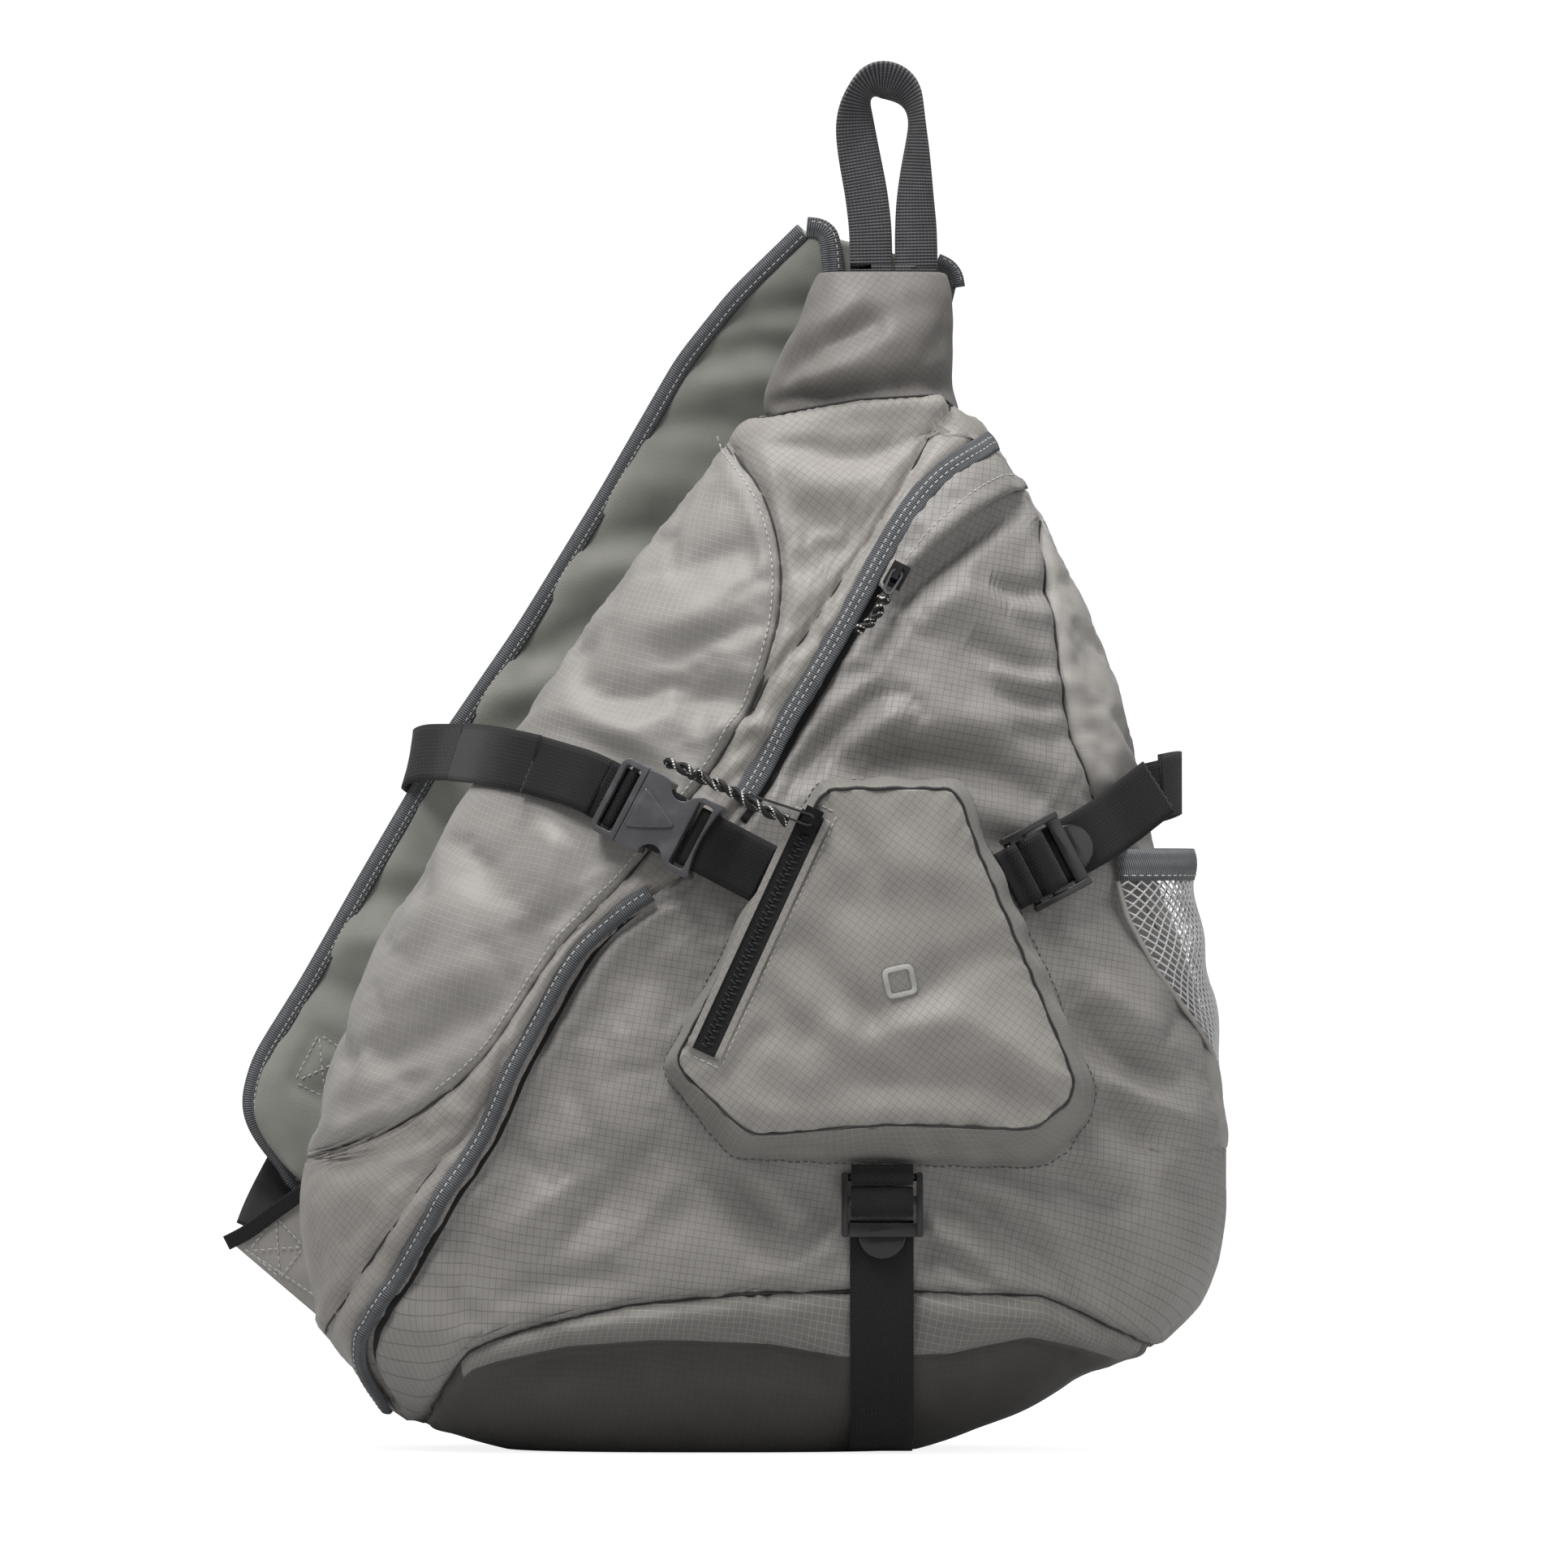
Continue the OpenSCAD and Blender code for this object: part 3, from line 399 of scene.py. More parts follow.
def fold_relief(x, z):
    """How far the folds move the front of the shell along its normal."""
    total = np.zeros_like(x)
    places = np.stack([x, z], axis=-1)
    for line, depth, width in FOLDS:
        route = smooth_table(line, 4, step=2.0)
        gap, index = nearest(places, route)
        share = index / (len(route) - 1)
        taper = np.clip(4 * share * (1 - share) + 0.12, 0, 1) ** 0.7
        total += FOLD_STRENGTH * depth * taper * bell(gap, width)
    return total


# The simulated cloth: what was found, its grid, frames, forces and longest move
SIM = {"grid": None}
SIM_ROWS = 84
SIM_COLS = 150
SIM_FRAMES = 20
SIM_QUALITY = 6
SIM_MASS = 0.3
SIM_STRETCH = 18
SIM_SHEAR = 8
SIM_BEND = 0.5
SIM_SLACK = -0.022
SIM_PRESSURE = 2.5
SIM_CAP = 4.0
# The outline that the front pocket's cloth is sewn along, as [x, height]
POCKET_SEAM = [
    [38, 262], [100, 262], [112, 230], [142, 154], [136, 132], [110, 116], [4, 116], [-20, 148],
    [38, 262],
]


def sim_relief(z, angle):
    """How far the simulated cloth moved off the smooth shell, at heights and angles."""
    grid = SIM["grid"]
    if grid is None:
        return np.zeros(np.broadcast(z, angle).shape)
    z, angle = np.broadcast_arrays(z, angle)
    row = np.interp(z, SIM["z"], np.arange(len(SIM["z"])))
    low = np.clip(row.astype(int), 0, grid.shape[0] - 2)
    part = row - low
    column = np.empty_like(row)
    turn = np.mod(angle, 360)
    for r in range(grid.shape[0]):
        here = low == r
        if here.any():
            column[here] = np.interp(turn[here], SIM["angles"][r], np.arange(grid.shape[1] + 1))
    left = column.astype(int) % grid.shape[1]
    right = (left + 1) % grid.shape[1]
    share = column - column.astype(int)
    lower = grid[low, left] * (1 - share) + grid[low, right] * share
    upper = grid[low + 1, left] * (1 - share) + grid[low + 1, right] * share
    return lower * (1 - part) + upper * part


def relief(points, normals, z, angle):
    """Everything that moves the cloth off the smooth shell, along its normal."""
    forward = np.clip(-normals[..., 1] * 2.2, 0, 1)
    total = fold_relief(points[..., 0], points[..., 2]) * forward
    stretched = points * np.array([1.0, 1.0, 1.5])
    total = total + WRINKLE_DEPTH * ripples(stretched, WRINKLE_SIZE, 3.1)
    total = total + FINE_DEPTH * ripples(points, FINE_SIZE, 7.7)
    total = total + sim_relief(z, angle)
    calm = quiet(points[..., [0, 2]]) * forward
    return total * (1 - calm) + np.minimum(total, 0) * calm


# Lines [x, z] that hard parts lie along, each with how far to its sides they reach
HARD_LINES = [
    ([[-64, 268], [-40, 256], [-24, 249], [8, 236]], 17),
    ([[104, 222], [116, 228], [140, 241], [160, 254]], 16),
    ([[62, 112], [62, 76], [62, 42]], 14),
]


def quiet(places):
    """How strongly the cloth is held down at places in the front view, from 0 to 1."""
    held = np.zeros(places.shape[:-1])
    for line, reach in HARD_LINES:
        gap = nearest(places, smooth_table(line, 3, step=3.0))[0]
        held = np.maximum(held, np.clip((reach + 8 - gap) / 8, 0, 1))
    return held


def on_cloth(x, z, lift):
    """A place off the front of the dressed cloth."""
    x = np.asarray(x, float)
    z = np.asarray(z, float)
    normal = front_normal(x, z)
    base = np.stack([x, front_y(x, z), z], axis=-1)
    rise = relief(base, normal, z, angle_of(z, x)) + lift
    return base + normal * np.asarray(rise)[..., None]


# ---- Meshes ----


def grid_normals(grid):
    """Outward normals of a grid whose rows go up and whose columns go clockwise."""
    return unit(np.cross(np.gradient(grid, axis=0), np.gradient(grid, axis=1)))


def add_object(name, points, faces, loops_uv=None, smooth=True):
    """A mesh object from points in millimetres, its faces and a UV for each loop."""
    mesh = bpy.data.meshes.new(name)
    mesh.from_pydata((np.asarray(points) * MM).tolist(), [], faces)
    mesh.polygons.foreach_set("use_smooth", [smooth] * len(faces))
    if loops_uv is not None:
        layer = mesh.uv_layers.new(name="cloth")
        layer.data.foreach_set("uv", np.asarray(loops_uv, float).ravel())
    mesh.update()
    obj = bpy.data.objects.new(name, mesh)
    bpy.context.scene.collection.objects.link(obj)
    return obj


def slab(name, grid, thick, uv, wrap=False, cap=None):
    """A closed sheet of cloth from its outer grid of points, with its thickness inward."""
    rows, cols = grid.shape[:2]
    wide = np.concatenate([grid[:, -2:-1], grid, grid[:, 1:2]], axis=1) if wrap else grid
    normals = grid_normals(wide)
    normals = normals[:, 1:-1] if wrap else normals
    if wrap:
        grid = grid[:, :-1]
        normals = normals[:, :-1]
    around = grid.shape[1]
    count = rows * around
    points = np.concatenate([grid.reshape(-1, 3), (grid - normals * thick).reshape(-1, 3)])
    flat_uv = uv.reshape(-1, 2)
    faces = []
    loops = []

    def add(corners):
        faces.append([side * count + r * around + c % around for r, c, side in corners])
        loops.extend(r * cols + c for r, c, side in corners)

    for r in range(rows - 1):
        for c in range(cols - 1):
            add([(r, c, 0), (r + 1, c, 0), (r + 1, c + 1, 0), (r, c + 1, 0)])
            add([(r, c, 1), (r, c + 1, 1), (r + 1, c + 1, 1), (r + 1, c, 1)])
    last = rows - 1
    for c in range(cols - 1):
        if cap != "first":
            add([(0, c, 0), (0, c + 1, 0), (0, c + 1, 1), (0, c, 1)])
        if cap != "last":
            add([(last, c, 0), (last, c, 1), (last, c + 1, 1), (last, c + 1, 0)])
    if cap:
        row = 0 if cap == "first" else last
        ring = [(row, c) for c in range(cols - 1)]
        ring = ring if cap == "first" else ring[::-1]
        add([(r, c, 0) for r, c in ring])
        add([(r, c, 1) for r, c in ring[::-1]])
    if not wrap:
        last = cols - 1
        for r in range(rows - 1):
            add([(r, 0, 0), (r, 0, 1), (r + 1, 0, 1), (r + 1, 0, 0)])
            add([(r, last, 0), (r + 1, last, 0), (r + 1, last, 1), (r, last, 1)])
    return add_object(name, points, faces, flat_uv[loops] * MM)


def sweep(name, route, across, profile):
    """A closed strip or tube: a profile of (across, out) pairs carried along a route."""
    route = np.asarray(route, float)
    tangent = unit(np.gradient(route, axis=0))
    face = unit(np.cross(tangent, across))
    across = unit(np.cross(face, tangent))
    profile = np.asarray(profile, float)
    around = len(profile)
    points = (
        route[:, None, :]
        + across[:, None, :] * profile[None, :, :1]
        + face[:, None, :] * profile[None, :, 1:]
    )
    run = run_along(route)
    girth = np.linalg.norm(np.diff(profile, axis=0, append=profile[:1]), axis=1)
    around_run = np.concatenate([[0], np.cumsum(girth)])
    flat = profile[:, 1].max() - profile[:, 1].min() < 0.4 * np.ptp(profile[:, 0])
    faces = []
    uv = []
    for r in range(len(route) - 1):
        for i in range(around):
            j = (i + 1) % around
            faces.append([
                r * around + i, r * around + j, (r + 1) * around + j, (r + 1) * around + i
            ])
            a, b = (profile[i, 0], profile[j, 0]) if flat else (around_run[i], around_run[i + 1])
            uv += [(a, run[r]), (b, run[r]), (b, run[r + 1]), (a, run[r + 1])]
    faces.append(list(range(around - 1, -1, -1)))
    uv += [(profile[i, 0], run[0]) for i in range(around - 1, -1, -1)]
    end = (len(route) - 1) * around
    faces.append([end + i for i in range(around)])
    uv += [(profile[i, 0], run[-1]) for i in range(around)]
    return add_object(name, points.reshape(-1, 3), faces, np.array(uv) * MM)


# How far out the flat part of a webbing's section reaches
EDGE_SHARE = 0.985


def strip_profile(width, thick, dome=0.0, sides=10):
    """A webbing's section with rounded edges; dome raises its middle on the outside."""
    half = width / 2
    places = np.linspace(-1, 1, sides + 1)
    inner = thick / 2
    top = [(half * p * EDGE_SHARE, inner + dome * (1 - p * p)) for p in places]
    low = [(half * p * EDGE_SHARE, -inner) for p in places[::-1]]
    return low[::-1] + [(half, -inner * 0.4), (half, inner * 0.5)] + top[::-1] + [
        (-half, inner * 0.5), (-half, -inner * 0.4)
    ]


def round_profile(diameter, sides=12):
    """A circle's section."""
    turn = np.arange(sides) * 2 * math.pi / sides
    return np.stack([np.cos(turn), np.sin(turn)], axis=1) * diameter / 2


def constant(route, direction):
    """One direction for every point of a route."""
    return np.tile(unit(np.array(direction, float)), (len(route), 1))


def offset_route(route, across, side, out):
    """A line beside a route, and which way is out from it at each point."""
    tangent = unit(np.gradient(route, axis=0))
    face = unit(np.cross(tangent, across))
    return route + across * side + face * out, face


def capsules(name, places, along, outward, length, radius, flat=0.7):
    """Many little threads or teeth in one mesh: places, directions and one size."""
    rings = np.array([[-1.0, 0.15], [-0.72, 0.85], [0.72, 0.85], [1.0, 0.15]])
    turn = np.arange(6) * math.pi / 3
    side = unit(np.cross(along, outward))
    out = unit(np.cross(side, along))
    template = []
    for end, wide in rings:
        for a in turn:
            template.append((end * length / 2, wide * radius * math.cos(a),
                             wide * radius * flat * math.sin(a)))
    template = np.array(template)
    points = (
        places[:, None, :]
        + unit(along)[:, None, :] * template[None, :, :1]
        + side[:, None, :] * template[None, :, 1:2]
        + out[:, None, :] * template[None, :, 2:]
    )
    per = len(template)
    faces = []
    for k in range(len(places)):
        base = k * per
        for ring in range(3):
            for i in range(6):
                j = (i + 1) % 6
                low = base + ring * 6
                faces.append([low + i, low + j, low + 6 + j, low + 6 + i])
        faces.append([base + i for i in range(5, -1, -1)])
        faces.append([base + 18 + i for i in range(6)])
    return add_object(name, points.reshape(-1, 3), faces)


# The pitch, length and radius of the finer stitches
FINE_STITCH = (2.6, 1.8, 0.26)


def stitch_row(name, route, outward, pitch=3.0, length=2.0, radius=0.32):
    """Stitches a pitch apart along a route."""
    run = run_along(route)
    spots = np.arange(pitch, run[-1] - pitch / 2, pitch)
    tangent = unit(np.gradient(route, axis=0))
    places, along, out = (sample(run, rows, spots) for rows in (route, tangent, outward))
    return capsules(name, places, along, out, length, radius)


def join_meshes(name, objects):
    """Several new objects as one, with one material slot kept from the first."""
    bm = bmesh.new()
    for obj in objects:
        bm.from_mesh(obj.data)
    mesh = bpy.data.meshes.new(name)
    bm.to_mesh(mesh)
    bm.free()
    for obj in objects:
        old = obj.data
        bpy.data.objects.remove(obj)
        bpy.data.meshes.remove(old)
    joined = bpy.data.objects.new(name, mesh)
    bpy.context.scene.collection.objects.link(joined)
    return joined


def facing_matrix(at, turn, yaw=0.0, pitch=0.0):
    """Turns a flat drawing to stand in front of the bag, as the model does."""
    return (
        Matrix.Translation(Vector(at))
        @ Matrix.Rotation(math.radians(yaw), 4, "Z")
        @ Matrix.Rotation(math.radians(90 + pitch), 4, "X")
        @ Matrix.Rotation(math.radians(turn), 4, "Z")
    )


def place(matrix, points):
    """Points of a drawing after a matrix."""
    turn = np.array(matrix)
    return np.asarray(points, float) @ turn[:3, :3].T + turn[:3, 3]


def direction(matrix, vector):
    """A direction of a drawing after a matrix."""
    return np.array(matrix)[:3, :3] @ np.array(vector, float)


# Edges that turn more than this are bevelled, or left sharp, in degrees
BEVEL_ANGLE = 28
SMOOTH_ANGLE = 42


def plate(name, outline, low, high, matrix, holes=(), bevel=0.6, segments=3):
    """A moulded plate: an outline drawn flat, with holes cut through and soft edges."""
    body = prism(name, outline, low, high, matrix)
    for k, (hole, hole_low, hole_high) in enumerate(holes):
        cutter = prism(f"cutter_{k}", hole, hole_low, hole_high, matrix)
        cut = body.modifiers.new("cut", "BOOLEAN")
        cut.operation = "DIFFERENCE"
        cut.solver = "EXACT"
        cut.object = cutter
        bake(body)
        bpy.data.objects.remove(cutter)
    if bevel:
        soft = body.modifiers.new("bevel", "BEVEL")
        soft.width = bevel * MM
        soft.segments = segments
        soft.limit_method = "ANGLE"
        soft.angle_limit = math.radians(BEVEL_ANGLE)
        soft.harden_normals = False
        bake(body)
    smooth_by_angle(body, SMOOTH_ANGLE)
    return body


def prism(name, outline, low, high, matrix):
    """A straight closed solid from an outline in the drawing's plane."""
    area = 0.0
    for (x0, y0), (x1, y1) in zip(outline, outline[1:] + outline[:1]):
        area += x0 * y1 - x1 * y0
    ring = list(outline) if area > 0 else list(outline)[::-1]
    count = len(ring)
    points = [(x, y, low) for x, y in ring] + [(x, y, high) for x, y in ring]
    faces = [list(range(count - 1, -1, -1)), [count + i for i in range(count)]]
    for i in range(count):
        j = (i + 1) % count
        faces.append([i, j, count + j, count + i])
    return add_object(name, place(matrix, points), faces, smooth=False)


def bake(obj):
    """Applies an object's modifiers to its mesh."""
    graph = bpy.context.evaluated_depsgraph_get()
    mesh = bpy.data.meshes.new_from_object(obj.evaluated_get(graph))
    old = obj.data
    obj.modifiers.clear()
    obj.data = mesh
    bpy.data.meshes.remove(old)


def smooth_by_angle(obj, degrees):
    """Smooth faces, with sharp edges kept where they turn more than an angle."""
    mesh = obj.data
    mesh.polygons.foreach_set("use_smooth", [True] * len(mesh.polygons))
    mesh.set_sharp_from_angle(angle=math.radians(degrees))


CORNER_STEPS = 4


def rounded(outline, radius):
    """An outline with its corners rounded by a radius."""
    out = []
    count = len(outline)
    for i in range(count):
        here = np.array(outline[i], float)
        back = np.array(outline[i - 1], float) - here
        ahead = np.array(outline[(i + 1) % count], float) - here
        reach = min(radius, np.linalg.norm(back) * 0.45, np.linalg.norm(ahead) * 0.45)
        start = here + back / np.linalg.norm(back) * reach
        end = here + ahead / np.linalg.norm(ahead) * reach
        for t in np.linspace(0, 1, CORNER_STEPS + 1):
            out.append(tuple((1 - t) ** 2 * start + 2 * t * (1 - t) * here + t * t * end))
    return out


def box_line(low, high, half, radius):
    """The outline of a rounded box between two places, as wide as twice its half."""
    return rounded([(low, -half), (high, -half), (high, half), (low, half)], radius)


def finish_piece(obj, body, slot, paint, *nodes):
    """Gives a new piece its body and paint, and hides the nodes it stands for. The slot is not
    used.
    """
    obj.data.materials.clear()
    obj.data.materials.append(PAINTS[paint])
    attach(obj, body)
    if nodes:
        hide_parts(*nodes)
    return obj


# ---- Materials ----


def tone(red, green, blue):
    """A colour from screen values, as linear light."""
    values = [v / 255 for v in (red, green, blue)]
    return [v / 12.92 if v <= 0.04045 else ((v + 0.055) / 1.055) ** 2.4 for v in values] + [1.0]


class Paint:
    """A procedural material while it is being put together."""

    def __init__(self, name, roughness=0.6, specular=0.4, sheen=0.0):
        self.material = bpy.data.materials.new(name)
        self.material.use_nodes = True
        self.tree = self.material.node_tree
        self.shader = self.tree.nodes["Principled BSDF"]
        self.shader.inputs["Roughness"].default_value = roughness
        self.shader.inputs["Specular IOR Level"].default_value = specular
        self.shader.inputs["Sheen Weight"].default_value = sheen

    def node(self, kind, **settings):
        """A new node with its settings."""
        node = self.tree.nodes.new(kind)
        for key, value in settings.items():
            setattr(node, key, value)
        return node

    def feed(self, value, socket):
        """Links a socket's value, or sets it."""
        if isinstance(value, bpy.types.NodeSocket):
            self.tree.links.new(value, socket)
        else:
            socket.default_value = value

    def math(self, operation, first, second=0.0):
        """One step of arithmetic."""
        node = self.node("ShaderNodeMath", operation=operation)
        self.feed(first, node.inputs[0])
        self.feed(second, node.inputs[1])
        return node.outputs[0]

    def times(self, first, second):
        return self.math("MULTIPLY", first, second)

    def plus(self, first, second):
        return self.math("ADD", first, second)

    def ramp(self, value, low, high, out_low=0.0, out_high=1.0):
        """A smooth step of a value between two levels."""
        node = self.node("ShaderNodeMapRange", interpolation_type="SMOOTHSTEP")
        for socket, item in zip(node.inputs, (value, low, high, out_low, out_high)):
            self.feed(item, socket)
        return node.outputs[0]

    def mix(self, share, first, second):
        """A colour between two colours."""
        node = self.node("ShaderNodeMix", data_type="RGBA")
        self.feed(share, node.inputs[0])
        self.feed(first, node.inputs[6])
        self.feed(second, node.inputs[7])
        return node.outputs[2]

    def place(self, turn=0.0, kind="UV"):
        """Where a point is on the cloth, or on the object."""
        coordinate = self.node("ShaderNodeTexCoord")
        mapping = self.node("ShaderNodeMapping")
        mapping.inputs["Rotation"].default_value = (0, 0, math.radians(turn))
        self.feed(coordinate.outputs[kind], mapping.inputs["Vector"])
        return mapping.outputs[0]

    def axes(self, vector):
        """The first two parts of a vector."""
        node = self.node("ShaderNodeSeparateXYZ")
        self.feed(vector, node.inputs[0])
        return node.outputs[0], node.outputs[1]

    def noise(self, vector, scale, detail=2.0):
        """Smooth noise between 0 and 1."""
        node = self.node("ShaderNodeTexNoise")
        self.feed(vector, node.inputs["Vector"])
        node.inputs["Scale"].default_value = scale
        node.inputs["Detail"].default_value = detail
        return node.outputs[0]

    def bump(self, height, distance, strength=1.0):
        """Fine relief, from a height and its distance in metres."""
        node = self.node("ShaderNodeBump")
        node.inputs["Strength"].default_value = strength
        node.inputs["Distance"].default_value = distance
        self.feed(height, node.inputs["Height"])
        self.feed(node.outputs[0], self.shader.inputs["Normal"])

    def colour(self, value):
        """Sets the colour, and gives back the finished material."""
        self.feed(value, self.shader.inputs["Base Color"])
        return self.material

    def wave(self, value, pitch):
        """A smooth wave between 0 and 1 with a pitch in metres."""
        turn = self.times(value, 2 * math.pi / pitch)
        return self.plus(self.times(self.math("SINE", turn), 0.5), 0.5)


def shaded(colour, share):
    """A colour made darker by a share of its light."""
    return [c * share for c in colour[:3]] + [1]


# The grid's pitch in metres, and each thread's share of it
GRID_PITCH = 0.0027
GRID_THREAD = 0.075


def ripstop(name, cloth, line, turn, share):
    """Thin woven cloth with a square grid of thicker threads."""
    paint = Paint(name, 0.5, 0.42, 0.12)
    vector = paint.place(turn)
    lines = None
    for axis in paint.axes(vector):
        cell = paint.math("FRACT", paint.math("DIVIDE", axis, GRID_PITCH))
        away = paint.math("ABSOLUTE", paint.math("SUBTRACT", cell, 0.5))
        thread = paint.ramp(away, 0.5 - GRID_THREAD, 0.5)
        lines = thread if lines is None else paint.math("MAXIMUM", lines, thread)
    patch = paint.noise(vector, 55.0, 3.0)
    weave = paint.noise(vector, 3200.0, 1.0)
    worn = paint.mix(paint.ramp(patch, 0.3, 0.7), cloth, shaded(cloth, 0.9))
    seen = paint.times(lines, paint.ramp(patch, 0.2, 0.8, share * 0.6, share))
    height = paint.plus(paint.times(lines, 0.3), paint.times(weave, 0.5))
    paint.bump(height, 0.0002, 0.7)
    return paint.colour(paint.mix(seen, worn, line))


def ribbed(name, dark, light, across, along, depth=0.0003, brick=0.5):
    """Webbing or binding: ribs a pitch apart along it, broken a pitch apart across it."""
    paint = Paint(name, 0.7, 0.3, 0.1)
    vector = paint.place()
    u, v = paint.axes(vector)
    column = paint.math("FLOOR", paint.math("DIVIDE", u, across))
    shifted = paint.plus(v, paint.times(column, along * brick))
    rib = paint.wave(shifted, along)
    cord = paint.wave(u, across)
    height = paint.times(rib, paint.plus(paint.times(cord, 0.45), 0.55))
    patch = paint.noise(vector, 160.0, 3.0)
    share = paint.times(height, paint.ramp(patch, 0.2, 0.8, 0.7, 1.0))
    paint.bump(height, depth)
    return paint.colour(paint.mix(share, dark, light))


def soft_cloth(name, cloth, roughness=0.75, scale=1400.0, shade=0.86):
    """A fine plain cloth without a grid."""
    paint = Paint(name, roughness, 0.3, 0.25)
    vector = paint.place(kind="Object")
    patch = paint.noise(vector, 28.0, 3.0)
    fibre = paint.noise(vector, scale, 2.0)
    paint.bump(fibre, 0.0002, 0.6)
    return paint.colour(paint.mix(paint.ramp(patch, 0.3, 0.7), cloth, shaded(cloth, shade)))


def moulded(name, colour, roughness, metal=0.0):
    """Moulded plastic or cast metal with a fine grain and light wear."""
    paint = Paint(name, roughness, 0.5)
    paint.shader.inputs["Metallic"].default_value = metal
    vector = paint.place(kind="Object")
    grain = paint.noise(vector, 1800.0, 2.0)
    wear = paint.noise(vector, 90.0, 3.0)
    paint.bump(grain, 0.00005, 0.5)
    rough = paint.ramp(wear, 0.3, 0.7, roughness * 0.85, min(roughness * 1.25, 1.0))
    paint.feed(rough, paint.shader.inputs["Roughness"])
    lighter = [min(c * 1.5 + 0.004, 1) for c in colour[:3]] + [1]
    return paint.colour(paint.mix(paint.ramp(wear, 0.45, 0.8), colour, lighter))


def flecked(name):
    """Black braided cord with pale flecks."""
    paint = Paint(name, 0.6, 0.4)
    vector = paint.place()
    u, v = paint.axes(vector)
    twist = paint.plus(paint.times(u, 0.9), v)
    strand = paint.math("FRACT", paint.math("DIVIDE", twist, 0.0016))
    fleck = paint.math("FRACT", paint.math("DIVIDE", paint.math(
        "SUBTRACT", v, paint.times(u, 1.4)), 0.0072))
    pale = paint.times(paint.ramp(fleck, 0.8, 0.86), paint.ramp(strand, 0.35, 0.5))
    paint.bump(strand, 0.0002)
    return paint.colour(paint.mix(pale, tone(24, 24, 25), tone(225, 225, 222)))


def thread_paint(name, colour):
    """Twisted sewing thread."""
    paint = Paint(name, 0.6, 0.4, 0.2)
    vector = paint.place(kind="Object")
    twist = paint.noise(vector, 2600.0, 1.0)
    paint.bump(twist, 0.0001)
    return paint.colour(paint.mix(twist, shaded(colour, 0.75), colour))


CLOTH = tone(147, 144.5, 142)
# Pale grid threads stand for the threads' sheen where light grazes them: a painted highlight.
PALE_SHEEN = tone(192, 186, 172)
DARK = tone(88, 85, 82)
PAINTS = {
    # The front's cloth is a little darker than CLOTH: partly painted shade for the shade that falls
    # on the front.
    "front": ripstop("ripstop_front", tone(144, 141.5, 139), DARK, 10, 0.8),
    "moon": ripstop("ripstop_moon", CLOTH, PALE_SHEEN, 14, 0.42),
    "side": ripstop("ripstop_side", tone(152, 148, 144), DARK, 38, 0.55),
    # The head's cloth is painted darker than the other panels, as painted shade on the head.
    "head": ripstop("ripstop_head_painted_shade", tone(120, 117, 114), DARK, 33, 0.75),
    "pocket": ripstop("ripstop_pocket", tone(156, 153, 149), DARK, 36, 0.55),
    "pocket_side": ripstop("ripstop_pocket_side", tone(124, 122, 119), PALE_SHEEN, 8, 0.3),
    "gusset": ripstop("ripstop_gusset", tone(160, 157, 154), PALE_SHEEN, 8, 0.2),
    # The base's cloth, painted dark as the shade of the underside, with its grid lines darker
    # still.
    "base": ripstop("ripstop_base_painted_shade", tone(70, 68, 66), tone(50, 49, 47), 8, 0.6),
    # The band's paint: the base's cloth painted paler, as painted light where the band catches the
    # light.
    "band": ripstop("ripstop_band_painted_light", tone(120, 118, 116), PALE_SHEEN, 8, 0.5),
    "lining": soft_cloth("strap_lining_cloth", tone(145, 146, 140)),
    "back": soft_cloth("back_cloth", tone(124, 124, 118), 0.8, 900.0),
    "inner": soft_cloth("foam_cloth", tone(40, 40, 40)),
    "binding": ribbed("ribbed_binding", tone(44, 46, 50), tone(138, 142, 147), 0.004, 0.0009,
                      brick=0.0),
    "handle": ribbed("handle_webbing", tone(44, 44, 46), tone(128, 128, 133), 0.0014, 0.00125,
                     brick=0.0),
    "webbing": ribbed("flat_webbing", tone(15, 15, 16), tone(34, 34, 37), 0.0015, 0.0011,
                      0.0002),
    "tape": ribbed("zip_tape", tone(20, 20, 21), tone(42, 42, 43), 0.0011, 0.0008, 0.0001),
    "coil": moulded("zip_coil", tone(34, 34, 35), 0.4),
    # The buckle's grey plastic is made paler than its own tone, partly as a painted highlight for
    # its sheen.
    "buckle": moulded("side_release_plastic_with_painted_sheen", tone(80, 80, 84), 0.28),
    "plastic": moulded("buckle_plastic", tone(32, 32, 34), 0.2),
    "metal": moulded("slider_metal", tone(46, 46, 48), 0.3, 0.8),
    "wire": moulded("wire_metal", tone(120, 120, 122), 0.22, 1.0),
    "cord": flecked("flecked_cord"),
    "mesh": soft_cloth("mesh_thread", tone(226, 227, 229), 0.6, 1600.0),
    "trim": ribbed("mesh_trim", tone(70, 73, 77), tone(146, 150, 154), 0.004, 0.0009, brick=0.0),
    "thread": thread_paint("pale_thread", tone(205, 205, 203)),
    # A dark paint for the seam lines, which are painted shadow in the seams' grooves, and for the
    # pocket face's edge piping.
    "seam": thread_paint("seam_shadow_and_piping", tone(44, 43, 43)),
    "dark_thread": thread_paint("dark_thread", tone(90, 92, 95)),
}


# ---- Camera and light ----

LENS = 350.0
SENSOR = 36.0
# The width seen at the bag, and the middle of the view, in metres
SEEN_WIDTH = 0.6232
SEEN_X = 0.0237
SEEN_Z = 0.2642
# Each light's name, place, aim, size and power
LIGHTS = (
    ("key", (-0.7, -1.15, 2.3), (0, 0, 0.3), 0.8, 33),
    ("fill", (1.8, -1.5, 0.9), (0, 0, 0.25), 1.6, 9),
    ("top", (-0.1, -0.1, 2.2), (0, 0, 0.3), 0.8, 24),
)


